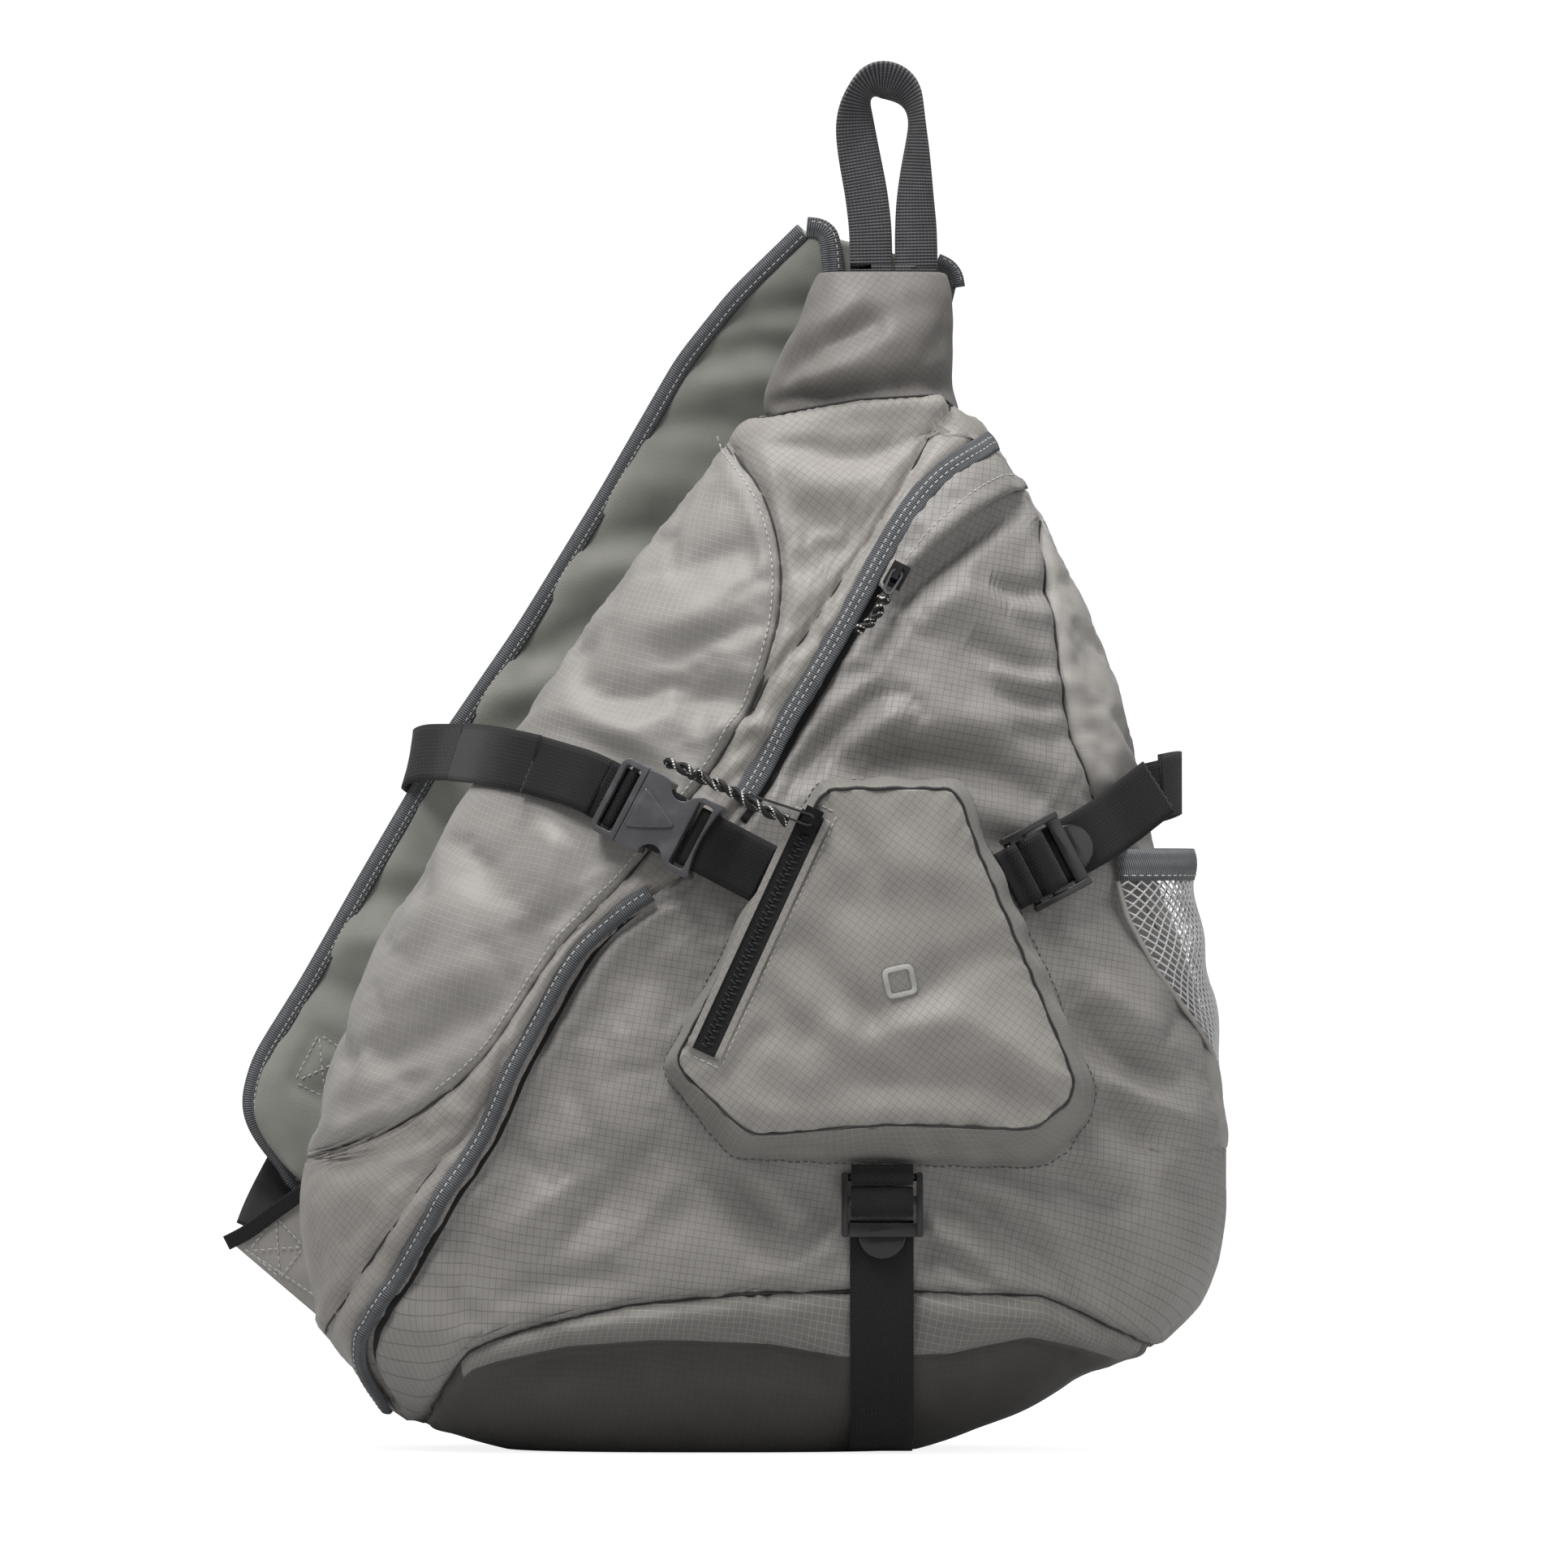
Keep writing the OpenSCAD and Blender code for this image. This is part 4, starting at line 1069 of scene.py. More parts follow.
def add_camera():
    """A long lens that looks straight at the front, along +Y."""
    data = bpy.data.cameras.new("camera")
    data.lens = LENS
    data.sensor_width = SENSOR
    data.clip_end = 60
    camera = bpy.data.objects.new("camera", data)
    camera.location = (SEEN_X, -SEEN_WIDTH * LENS / SENSOR, SEEN_Z)
    camera.rotation_euler = (math.pi / 2, 0, 0)
    bpy.context.scene.collection.objects.link(camera)
    bpy.context.scene.camera = camera


def add_area(name, location, target, size, power):
    """A soft square light aimed at a point."""
    data = bpy.data.lights.new(name, "AREA")
    data.size = size
    data.energy = power
    data.color = (1.0, 0.985, 0.965)
    light = bpy.data.objects.new(name, data)
    light.location = location
    aim = Vector(target) - Vector(location)
    light.rotation_euler = aim.to_track_quat("-Z", "Y").to_euler()
    bpy.context.scene.collection.objects.link(light)


# Where the soft light starts to rise, and its share of the ambient below and above
RISE_FROM = -0.4
BELOW = 0.12
ABOVE = 1.7


def add_world(seen, ambient):
    """White where the camera sees it, and a soft light that comes mostly from above."""
    world = bpy.data.worlds.new("studio")
    world.use_nodes = True
    nodes = world.node_tree.nodes
    links = world.node_tree.links
    background = nodes["Background"]
    background.inputs["Color"].default_value = (1.0, 1.0, 1.0, 1.0)
    path = nodes.new("ShaderNodeLightPath")
    level = nodes.new("ShaderNodeMapRange")
    where = nodes.new("ShaderNodeTexCoord")
    split = nodes.new("ShaderNodeSeparateXYZ")
    rise = nodes.new("ShaderNodeMapRange")
    rise.inputs["From Min"].default_value = RISE_FROM
    rise.inputs["To Min"].default_value = ambient * BELOW
    rise.inputs["To Max"].default_value = ambient * ABOVE
    links.new(where.outputs["Generated"], split.inputs[0])
    links.new(split.outputs[2], rise.inputs["Value"])
    links.new(rise.outputs[0], level.inputs["To Min"])
    level.inputs["To Max"].default_value = seen
    links.new(path.outputs["Is Camera Ray"], level.inputs["Value"])
    links.new(level.outputs[0], background.inputs["Strength"])
    bpy.context.scene.world = world


def add_floor():
    """A plain pale floor under the bag."""
    half = 0.9
    points = [(-half, -half), (half, -half), (half, half), (-half, half)]
    corners = [(x / MM, y / MM, -0.3) for x, y in points]
    corners += [(x / MM, y / MM, -8.0) for x, y in points]
    faces = [[0, 1, 2, 3], [7, 6, 5, 4]]
    faces += [[i, i + 4, (i + 1) % 4 + 4, (i + 1) % 4] for i in range(4)]
    floor = add_object("floor", corners, faces, smooth=False)
    paper = soft_cloth("floor_paper", [0.55, 0.55, 0.55, 1], 0.9, 400.0, 0.99)
    shader = paper.node_tree.nodes["Principled BSDF"]
    shader.inputs["Emission Color"].default_value = (1.0, 1.0, 1.0, 1.0)
    path = paper.node_tree.nodes.new("ShaderNodeLightPath")
    paper.node_tree.links.new(path.outputs["Is Camera Ray"], shader.inputs["Emission Strength"])
    floor.data.materials.append(paper)


def add_stage():
    """The camera, the floor and the lights."""
    add_camera()
    add_floor()
    add_world(1.05, 0.34)
    for light in LIGHTS:
        add_area(*light)
    bpy.context.scene.view_settings.view_transform = "Standard"


# ---- The zip pulls' cords ----

FRONT_CORD = [
    [25, -102.5, 249.5], [21, -103.5, 252], [16, -103.3, 254], [12, -102.3, 256],
    [8, -101.2, 258.5], [4, -99.8, 261], [0, -98.3, 263], [-4, -96.3, 264.8], [-8, -94, 266.5],
    [-11, -92.6, 268],
]
CORD_END = [[-12, -92.4, 268.3], [-15, -91, 270], [-18, -90, 271.3], [-21.5, -89, 272.5]]
MAIN_CORD = [[63, -46, 337], [61, -48, 332], [59, -49, 329], [56.5, -50, 327], [53, -51, 325]]


def doubled(route, gap, turns):
    """A cord laid twice along a route, the two runs twisted round each other."""
    line = smooth_route(route, 0.8)
    tangent = unit(np.gradient(line, axis=0))
    side = unit(np.cross(tangent, np.array([0.1, -1.0, 0.2])))
    out = np.cross(tangent, side)
    share = np.linspace(0, 1, len(line))
    angle = 2 * math.pi * turns * share
    swing = gap / 2 * (side * np.cos(angle)[:, None] + out * np.sin(angle)[:, None])
    there = line + swing
    back = (line - swing)[::-1]
    middle = line[-1] + tangent[-1] * gap * 0.55
    return np.concatenate([there, [middle], back])


def pull_cord(name, body, route, diameter, replaced):
    """One cord: a tube along its points."""
    path = smooth_route(route, 0.9, 0.5)
    across = constant(path, (0.3, 0.5, 0.8))
    cord = sweep(name, path, across, round_profile(diameter, 10))
    finish_piece(cord, body, "pull_cord", "cord", replaced)
    return cord


def knot(name, centre, size, body, replaced=()):
    """An overhand knot: a trefoil of cord drawn tight."""
    turn = np.linspace(0, 2 * math.pi, 60)
    ring = np.stack([
        np.sin(turn) + 2 * np.sin(2 * turn), np.cos(turn) - 2 * np.cos(2 * turn),
        -1.4 * np.sin(3 * turn),
    ], axis=1)
    path = ring * size / 6 + np.array(centre)
    # Webbing that crosses a joint: a flat run on no body, with the model's node hidden.
    across = constant(path, (0.2, 0.4, 0.9))
    piece = sweep(name, path, across, round_profile(2.4, 10))
    return finish_piece(piece, body, "pull_cord", "cord", *replaced)


def make_cords():
    """Both zip pulls' cords, each doubled round its wire and knotted."""
    front = knot("front_pull_knot_tight", FRONT_CORD[-1], 5.4, "front_pull", ("front_pull_knot",))
    pull_cord("front_pull_twist", "front_pull",
              doubled(FRONT_CORD + CORD_END, 2.7, 3.4), 2.4, "front_pull_cord")
    small = knot("main_pull_knot", MAIN_CORD[0], 3.4, "main_pull")
    pull_cord("main_pull_twist", "main_pull",
              doubled(MAIN_CORD, 2.4, 1.5), 2.2, "main_pull_cord")


# ---- The shell ----


def warped(z, x, front):
    """Heights after the base's arch and the lip under the head have moved them."""
    low = np.clip((112 - z) / 72, 0, 1) ** 1.6
    low = np.where(z < 40, np.clip((z - 12) / 28, 0, 1) ** 1.3, low)
    high = np.clip((z - 384) / 27, 0, 1) ** 1.5
    moved = z + (lookup(x, ARCH) - 40) * low + (lookup(x, LIP) - 411) * high
    return z + (moved - z) * front


def facing(angle):
    """From 0 at the back to 1 at the front of the shell, left edge included."""
    return np.clip((np.sin(np.radians(angle)) + 0.3) / 0.3, 0, 1)


def shell_points(z, angle):
    """Points of the smooth shell, and their heights, from nominal heights and angles."""
    z, angle = np.broadcast_arrays(z, angle)
    x = skin(z, angle)[..., 0]
    height = warped(z, x, facing(angle))
    return skin(height, angle), height


SEAM_ROUNDS = 12


def seam_angles(table, z):
    """The angles that put a seam on its line once the heights have been warped."""
    angle = angle_of(z, lookup(z, table))
    for _ in range(SEAM_ROUNDS):
        height = shell_points(z, angle)[1]
        wanted = angle_of(height, lookup(height, table))
        angle = (angle + wanted) / 2
    return angle


def seam_on_shell(table, low, high):
    """A seam's samples in space, about 2 mm apart."""
    z = np.linspace(low, high, int((high - low) / 1.6))
    return shell_points(z, seam_angles(table, z))[0]


def ring_seam(z):
    """A seam round the front at one nominal height."""
    angle = np.linspace(-20, 200, 320)
    return shell_points(np.full_like(angle, z), angle)[0]


SEAMS = {
    "zip": seam_on_shell(ZIP, SHELL_LOW, SHELL_HIGH),
    "moon": seam_on_shell(MOON, SEAM_LOW, SHELL_HIGH),
    "gusset": seam_on_shell(GUSSET, SEAM_LOW, SHELL_HIGH),
    "strip": seam_on_shell(STRIP_SEAM, 293, SHELL_HIGH),
    "low": seam_on_shell(LOW_SEAM, 60, 157),
    "arch": ring_seam(float(SHELL_LOW)),
    "lip": ring_seam(float(SHELL_HIGH)),
}


# A seam's groove, the swell beside it and the puckers along it
GROOVE_DEPTH = 2.2
GROOVE_WIDTH = 1.9
SWELL_HEIGHT = 1.1
SWELL_AT = 6
SWELL_WIDTH = 4.5
PUCKER_HEIGHT = 0.32
PUCKER_WIDTH = 6.5
ZIP_GROOVE = (3.0, 5.6, 2.6)


def seam_relief(points, names):
    """Grooves along the seams, with small puckers beside them."""
    total = np.zeros(points.shape[:-1])
    for name in names:
        gap, index = nearest(points, SEAMS[name])
        total -= GROOVE_DEPTH * bell(gap, GROOVE_WIDTH)
        total += SWELL_HEIGHT * bell(gap - SWELL_AT, SWELL_WIDTH)
        wave = np.sin(index * 0.62 + 1.5 * np.sin(index * 0.13))
        total += PUCKER_HEIGHT * wave * bell(gap, PUCKER_WIDTH)
    return total


def column_angles(z, start, end, count):
    """Angles that space the columns of each row evenly along the surface."""
    share = np.linspace(0, 1, 240)
    angles = start[:, None] + (end - start)[:, None] * share
    points = skin(z[:, None], angles)
    run = np.cumsum(np.linalg.norm(np.diff(points, axis=1), axis=2), axis=1)
    run = np.concatenate([np.zeros((len(z), 1)), run], axis=1)
    even = np.linspace(0, 1, count + 1)
    return np.array([np.interp(even * run[r, -1], run[r], angles[r]) for r in range(len(z))])


def planar_uv(points):
    """A flat pattern in millimetres: across from the middle column, and up it."""
    steps = np.linalg.norm(np.diff(points, axis=1), axis=2)
    run = np.concatenate([np.zeros((len(points), 1)), np.cumsum(steps, axis=1)], axis=1)
    middle = points.shape[1] // 2
    across = points[:, middle, 0][:, None] - (run - run[:, middle][:, None])
    rise = np.hypot(np.diff(points[:, middle, 2]), np.diff(points[:, middle, 1]))
    up = np.concatenate([[0], np.cumsum(rise)]) + points[0, middle, 2]
    return np.stack([across, np.repeat(up[:, None], points.shape[1], axis=1)], axis=-1)


# How far seams and the pocket's outline hold the cloth, and over what it comes free
SEAM_HOLD = 7
POCKET_HOLD = 9
HOLD_FADE = 4
FRONT_FADE = 20


def held_share(points):
    """How firmly each point of the cloth is held: along seams, edges and the flat back."""
    held = np.zeros(points.shape[:-1])
    for name in ("zip", "moon", "gusset", "strip", "low"):
        gap = nearest(points, SEAMS[name])[0]
        held = np.maximum(held, np.clip((SEAM_HOLD - gap) / HOLD_FADE, 0, 1))
    front = np.clip((FRONT_FADE - points[..., 1]) / FRONT_FADE, 0, 1)
    held = np.maximum(held, 1 - front)
    gap = nearest(points[..., [0, 2]], smooth_table(POCKET_SEAM, 3, step=3.0))[0]
    held = np.maximum(held, np.clip((POCKET_HOLD - gap) / HOLD_FADE, 0, 1) * front)
    held[[0, 1, -2, -1]] = 1
    return held


def sim_object(points, held):
    """The cloth as one ring of squares, with its held points in a group."""
    rows, around = points.shape[:2]
    faces = [[r * around + c, (r + 1) * around + c, (r + 1) * around + (c + 1) % around,
              r * around + (c + 1) % around] for r in range(rows - 1) for c in range(around)]
    cloth = add_object("cloth_trial", points.reshape(-1, 3), faces)
    group = cloth.vertex_groups.new(name="held")
    flat = np.round(held.reshape(-1), 1)
    for share in np.unique(flat[flat > 0]):
        group.add(np.flatnonzero(flat == share).tolist(), float(share), "REPLACE")
    return cloth


def run_cloth(cloth):
    """Steps the cloth through its frames and returns where its points end up."""
    cloth.modifiers.new("cloth", "CLOTH")
    settings = cloth.modifiers["cloth"].settings
    settings.quality = SIM_QUALITY
    settings.mass = SIM_MASS
    settings.tension_stiffness = SIM_STRETCH
    settings.compression_stiffness = SIM_STRETCH
    settings.shear_stiffness = SIM_SHEAR
    settings.bending_stiffness = SIM_BEND
    settings.shrink_min = SIM_SLACK
    settings.shrink_max = SIM_SLACK
    settings.vertex_group_mass = "held"
    settings.use_pressure = True
    settings.uniform_pressure_force = SIM_PRESSURE
    settings.effector_weights.gravity = 0
    cloth.modifiers["cloth"].collision_settings.use_collision = False
    for step in range(1, SIM_FRAMES + 1):
        bpy.context.scene.frame_set(step)
    shaped = cloth.evaluated_get(bpy.context.evaluated_depsgraph_get())
    found = np.empty(len(shaped.data.vertices) * 3)
    shaped.data.vertices.foreach_get("co", found)
    bpy.data.objects.remove(cloth)
    bpy.context.scene.frame_set(1)
    return found.reshape(-1, 3) / MM


def simulate_shell():
    """Presses slack cloth outwards between its seams and keeps how far it moved."""
    z = np.linspace(SHELL_LOW, SHELL_HIGH, SIM_ROWS)
    wide = np.full(SIM_ROWS, 1.0)
    angles = column_angles(z, wide * 0, wide * 360, SIM_COLS)
    closed, height = shell_points(z[:, None], angles)
    normals = grid_normals(closed)
    start = relief(closed, normals, height, angles)
    points = closed + normals * start[..., None]
    cloth = sim_object(points[:, :-1], held_share(closed)[:, :-1])
    moved = run_cloth(cloth).reshape(points[:, :-1].shape)
    out = ((moved - points[:, :-1]) * normals[:, :-1]).sum(axis=-1)
    SIM.update(grid=np.clip(out, -SIM_CAP, SIM_CAP), z=z, angles=angles)


def shell_panel(name, z, start, end, count, paint, slot, seams, thick=2.0):
    """One cloth panel between two angles that may change with height."""
    angles = column_angles(z, start, end, count)
    points, height = shell_points(z[:, None], angles)
    normals = grid_normals(points)
    rise = relief(points, normals, height, angles) + seam_relief(points, seams)
    if name == "front_panel":
        gap = nearest(points, SEAMS["zip"])[0]
        depth, beside, width = ZIP_GROOVE
        rise -= depth * bell(gap - beside, width)
    uv = planar_uv(points)
    panel = slab(name + "_cloth", points + normals * rise[..., None], thick, uv)
    return finish_piece(panel, "bag", slot, paint, name)


def make_shell():
    """The panels of the main shell."""
    simulate_shell()
    full = np.linspace(SHELL_LOW, SHELL_HIGH, 190)
    zipper = seam_angles(ZIP, full)
    gusset = np.where(full < SEAM_LOW, 0.2, seam_angles(GUSSET, full))
    shell_panel("front_panel", full, gusset, zipper, 160, "front", "ripstop",
                ["zip", "gusset", "arch", "lip"])
    moon = seam_angles(MOON, np.maximum(full, SEAM_LOW))
    ease = np.clip((full - 100) / 19, 0, 1) ** 2
    first = float(angle_of(float(SEAM_LOW), lookup(SEAM_LOW, MOON)))
    moon = np.where(full < SEAM_LOW, BACK_LEFT * (1 - ease) + first * ease, moon)
    shell_panel("side_panel", full, zipper, moon, 70, "side", "ripstop",
                ["zip", "moon", "lip", "strip", "low", "arch"])
    back = np.full_like(full, float(BACK_LEFT))
    high = full[full >= 100]
    shell_panel("moon_panel", high, moon[full >= 100], back[full >= 100], 64, "moon", "ripstop",
                ["moon", "lip"])
    shell_panel("right_gusset", full, np.full_like(full, BACK_RIGHT - 360.0), gusset, 40, "gusset",
                "ripstop", ["gusset", "lip"])
    coarse = np.linspace(SHELL_LOW, SHELL_HIGH, 80)
    wide = np.full_like(coarse, 1.0)
    shell_panel("back_panel", coarse, wide * BACK_LEFT, wide * BACK_RIGHT, 60, "back", "lining",
                ["lip"], 2.6)
    make_base()
    make_head()
    make_seam_lines()


# The rows of the base's upper band, and where along X they have the paler paint, painted light for
# the light they catch
BAND_ROWS = 10
LIT_FROM = -104
LIT_TO = 165


def base_rows(ring):
    """The base's rows of points, from the floor up to its fold and on to its arch."""
    level = np.concatenate([np.linspace(0, 1, 24), np.linspace(1, 2, BAND_ROWS)[1:]])[:, None]
    x = skin(np.full_like(ring, float(SHELL_LOW)), ring)[..., 0]
    front = facing(ring)
    arch = 40 + (lookup(x, ARCH) - 40) * front
    fold = np.minimum(32 + (lookup(x, BASE_FOLD) - 32) * front, arch - 2)
    height = fold * np.clip(level, 0, 1) + (arch - fold) * np.clip(level - 1, 0, 1)
    return skin(height, np.broadcast_to(ring, height.shape)), height, level, front


def make_base():
    """The panel under the bag: a band painted paler where it catches the light, then the underside
    painted dark as its shade.
    """
    ring = column_angles(np.array([float(SHELL_LOW)]), np.array([-90.0]), np.array([270.0]), 280)
    points, height, level, front = base_rows(ring)
    angles = np.broadcast_to(ring, height.shape)
    normals = grid_normals(points)
    grounded = np.clip(height / 14, 0, 1)
    rise = (relief(points, normals, height, angles) + seam_relief(points, ["arch"])) * grounded
    middle = front * np.clip((points[..., 0] + 96) / 14, 0, 1)
    middle = middle * np.clip((152 - points[..., 0]) / 12, 0, 1)
    middle = middle * np.clip((np.abs(points[..., 0] - 62) - 14) / 10, 0.0, 1)
    rise += middle * np.where(level > 1, 3.2 * np.sin(np.pi * np.clip(level - 1, 0, 1)) ** 0.7, 0)
    tucked = bell(1 - level, 0.3) * np.minimum(1, (1 - level) * 12)
    under = np.where(level > 1, 0, tucked)
    rise -= middle * 5.0 * under
    uv = planar_uv(points)
    body = points + normals * rise[..., None]
    shares = np.array([0.03, 0.35, 0.65, 0.88])
    centre = np.array([-5.0, 8.0, 0.0])
    floor_rows = rings(centre, body[0], shares)
    floor_uv = np.stack([floor_rows[..., 0], floor_rows[..., 1]], axis=-1)
    grid = np.concatenate([floor_rows, body])
    panel = slab("base_panel_cloth", grid, 2.0, np.concatenate([floor_uv, uv]), wrap=True,
                 cap="first")
    finish_piece(panel, "bag", "base_ripstop", "base", "base_panel")
    x = skin(np.full_like(ring, float(SHELL_LOW)), ring)[0, :, 0]
    paint_band(panel, grid, (facing(ring[0]) > 0.9) & (x > LIT_FROM) & (x < LIT_TO))


def paint_band(panel, grid, lit):
    """Gives the base's upper rows a paler paint, as painted light, in the columns that catch the
    light.
    """
    panel.data.materials.append(PAINTS["band"])
    cells = grid.shape[1] - 1
    for row in range(len(grid) - BAND_ROWS, len(grid) - 1):
        for column in range(cells):
            if lit[column]:
                panel.data.polygons[2 * (row * cells + column)].material_index = 1


def seam_shadow_line(name, z, angle, names, size=0.9):
    """A dark line down in the groove where two panels are sewn together: painted shadow of the
    seam's gap, not a thread.
    """
    points, height = shell_points(z, angle)
    side = shell_points(z, angle + 0.4)[0] - shell_points(z, angle - 0.4)[0]
    up = shell_points(z + 0.5, angle)[0] - shell_points(z - 0.5, angle)[0]
    normal = unit(np.cross(up, side))
    lift = relief(points, normal, height, angle) + seam_relief(points, names) + 0.15
    path = smooth_route(points + normal * lift[:, None], 1.2, 1.0)
    line = sweep(name, path, constant(path, (0.3, 0.5, 0.8)), round_profile(size, 6))
    return finish_piece(line, "bag", "thread", "seam")


def make_seam_lines():
    """The dark lines of painted seam shadow along the shell's seams."""
    for name, table, low, high in (("moon", MOON, 121, 410.5), ("gusset", GUSSET, 121, 410.5),
                                   ("strip", STRIP_SEAM, 294, 410.5), ("low", LOW_SEAM, 61, 156)):
        z = np.linspace(low, high, int((high - low) / 1.5))
        seam_shadow_line(f"{name}_seam_shadow_line", z, seam_angles(table, z), [name])
    angle = np.linspace(2, 190, 300)
    seam_shadow_line("arch_seam_shadow_line", np.full_like(angle, 40.0), angle, ["arch"], 1.1)
    angle = np.linspace(6, 176, 120)
    seam_shadow_line("lip_seam_shadow_line", np.full_like(angle, 410.8), angle, ["lip"], 1.2)


HEAD_LOW = 402
HEAD_HIGH = 467
HEAD_FOLDS = [
    ([[18, 425], [30, 434], [44, 441], [58, 447]], -3.2, 5),
    ([[24, 438], [38, 447], [52, 455]], 1.6, 5),
    ([[18, 416], [40, 418], [66, 422], [90, 424]], -5.0, 5),
    ([[36, 424], [52, 430], [66, 440]], 1.8, 6),
    ([[70, 424], [80, 430], [88, 442]], -2.2, 6),
    ([[60, 452], [74, 456], [88, 452]], -1.2, 6),
]


def make_head():
    """The head above the shell, folded where it goes behind the lip."""
    z = np.linspace(HEAD_LOW, HEAD_HIGH, 44)
    angle = np.linspace(-90, 270, 150)
    points = skin(z[:, None], angle[None, :], table=HEAD_PROFILE)
    normals = grid_normals(points)
    forward = np.clip(-normals[..., 1] * 2, 0, 1)
    rise = forward * folds_at(points[..., [0, 2]], HEAD_FOLDS, 3)
    rise += 0.8 * ripples(points, 26, 5.5) + 0.3 * ripples(points, 10, 1.5)
    low = np.clip((412 - points[..., 2]) / 8, 0, 1)
    body = points + normals * (rise - 5 * low)[..., None]
    middle = body[-1].mean(axis=0)
    shares = np.array([0.96, 0.9, 0.6, 0.05])
    tops = rings(middle, body[-1], shares)
    tops[..., 2] = HEAD_HIGH + np.array([0.9, 1.2, 1.3, 1.3])[:, None]
    grid = np.concatenate([body, tops])
    panel = slab("head_panel_cloth", grid, 1.6, planar_uv(grid), wrap=True, cap="last")
    finish_piece(panel, "bag", "ripstop", "head", "head_panel")


# ---- Bindings, zip and flap ----


def front_route(line, lift):
    """A smooth line over the dressed front, with its direction across."""
    flat = smooth_table(line, 5, step=2.0)
    places = on_cloth(flat[:, 0], flat[:, 1], lift)
    normal = front_normal(flat[:, 0], flat[:, 1])
    tangent = unit(np.gradient(places, axis=0))
    return places, unit(np.cross(normal, tangent))


def zip_places(low, high, shift=0.0):
    """Places [x, height] along the zip, shifted sideways."""
    z = np.linspace(low, high, int((high - low) / 4))
    return [[x + shift, h] for x, h in zip(lookup(z, ZIP), z)]


def front_strip(name, line, width, thick, lift, dome, paint, slot, *nodes):
    """A strip laid on the front, with the model's nodes that it stands for hidden."""
    route, across = front_route(line, lift + thick / 2)
    strip = sweep(name, route, across, strip_profile(width, thick, dome))
    finish_piece(strip, "bag", slot, paint, *nodes)
    return route, across


def strip_stitches(name, route, across, sides, out):
    """Rows of stitches along a strip, beside its middle line."""
    rows = []
    for k, side in enumerate(sides):
        line, face = offset_route(route, across, side, out)
        rows.append(stitch_row(f"{name}_{k}", line, face))
    stitches = join_meshes(name, rows) if len(rows) > 1 else rows[0]
    stitches.name = name
    return finish_piece(stitches, "bag", "thread", "thread")


def make_main_zip():
    """Both bindings, the zip's dark tape, laid beside them to stand also for the shadow in the
    zip's gap, and the storm flap.
    """
    route, across = front_strip("upper_binding_ribbed", zip_places(258, 400), 9, 1.6, 0.6, 0.8,
                                "binding", "binding", "upper_binding")
    strip_stitches("upper_binding_stitches", route, across, (-1.2, 1.4), 1.5)
    route, across = front_strip("lower_binding_ribbed", zip_places(18, 221), 6.8, 1.6, 1.2, 1.6,
                                "binding", "binding", "lower_binding")
    strip_stitches("lower_binding_stitches", route, across, (0.7,), 2.35)
    # The dark tape strips are the zip's tape, and also stand for the painted shadow of the gap
    # beside the bindings.
    front_strip("main_zip_tape_and_gap_shadow", zip_places(250, 378, 6.0), 2.8, 0.8, -1.7, 0.0, "tape",
                "zip_tape", "main_zip_tape")
    front_strip("lower_zip_tape_and_gap_shadow", zip_places(24, 216, 5.0), 2.4, 0.8, -1.7, 0.0, "tape",
                "zip_tape")
    make_flap()


FLAP_ROOT = [[61, 342], [66, 356], [73, 369], [82, 380], [92, 389.5], [100, 394.5], [106.5, 396.5]]
FLAP_EDGE = [[64, 339], [75, 349], [85, 359], [95, 367], [106, 375.5], [114.5, 380], [120.5, 381.5]]


def make_flap():
    """The storm flap over the top of the main zip, from its tip to the right edge."""
    root = smooth_table(FLAP_ROOT, 4, step=1.0)
    edge = smooth_table(FLAP_EDGE, 4, step=1.0)
    rows = 60
    share = np.linspace(0, 1, rows)
    ends = [sample(np.arange(len(t)), t, share * (len(t) - 1)) for t in (edge, root)]
    across = np.linspace(0, 1, 14)
    part = across[None, :, None]
    flat = ends[0][:, None, :] * (1 - part) + ends[1][:, None, :] * part
    calm = np.clip(share * 4, 0.15, 1) * (1 - 0.75 * np.clip((share - 0.6) / 0.4, 0, 1))
    lift = 1.6 + 5.6 * (1 - across[None, :]) ** 0.8 * calm[:, None]
    lift = lift - 1.4 * bell(across[None, :], 0.08)
    lift = lift + 0.5 * np.sin(share * 19)[:, None] * (1 - across[None, :])
    grid = on_cloth(flat[..., 0], flat[..., 1], lift)
    uv = np.stack([flat[..., 0], flat[..., 1]], axis=-1)
    flap = slab("storm_flap_cloth", grid, 1.2, uv)
    finish_piece(flap, "bag", "ripstop", "front", "storm_flap")
    line = grid[3:, 5]
    outward = grid_normals(grid)[3:, 5]
    stitches = stitch_row("storm_flap_stitches", line + outward * 0.15, outward, 3.0, 1.9, 0.3)
    finish_piece(stitches, "bag", "thread", "thread")


def make_seam_stitches():
    """The row of stitches beside the moon panel's seam."""
    z = np.linspace(140, 406, 150)
    x = lookup(z, MOON)
    slope = unit(np.stack([np.gradient(x), np.gradient(z)], axis=1))
    side_x = x - slope[:, 1] * 3.2
    side_z = z + slope[:, 0] * 3.2
    line = on_cloth(side_x, side_z, 0.2)
    normal = front_normal(side_x, side_z)
    line = line + normal * seam_relief(line, ["moon"])[:, None]
    stitches = stitch_row("moon_seam_stitches", smooth_route(line, 1.5), normal_along(line, normal))
    finish_piece(stitches, "bag", "thread", "thread")


def normal_along(line, normal):
    """The normals of a line resampled like its smooth route."""
    route = smooth_route(line, 1.5)
    index = nearest(route, line)[1]
    return normal[index]


# ---- Front pocket ----

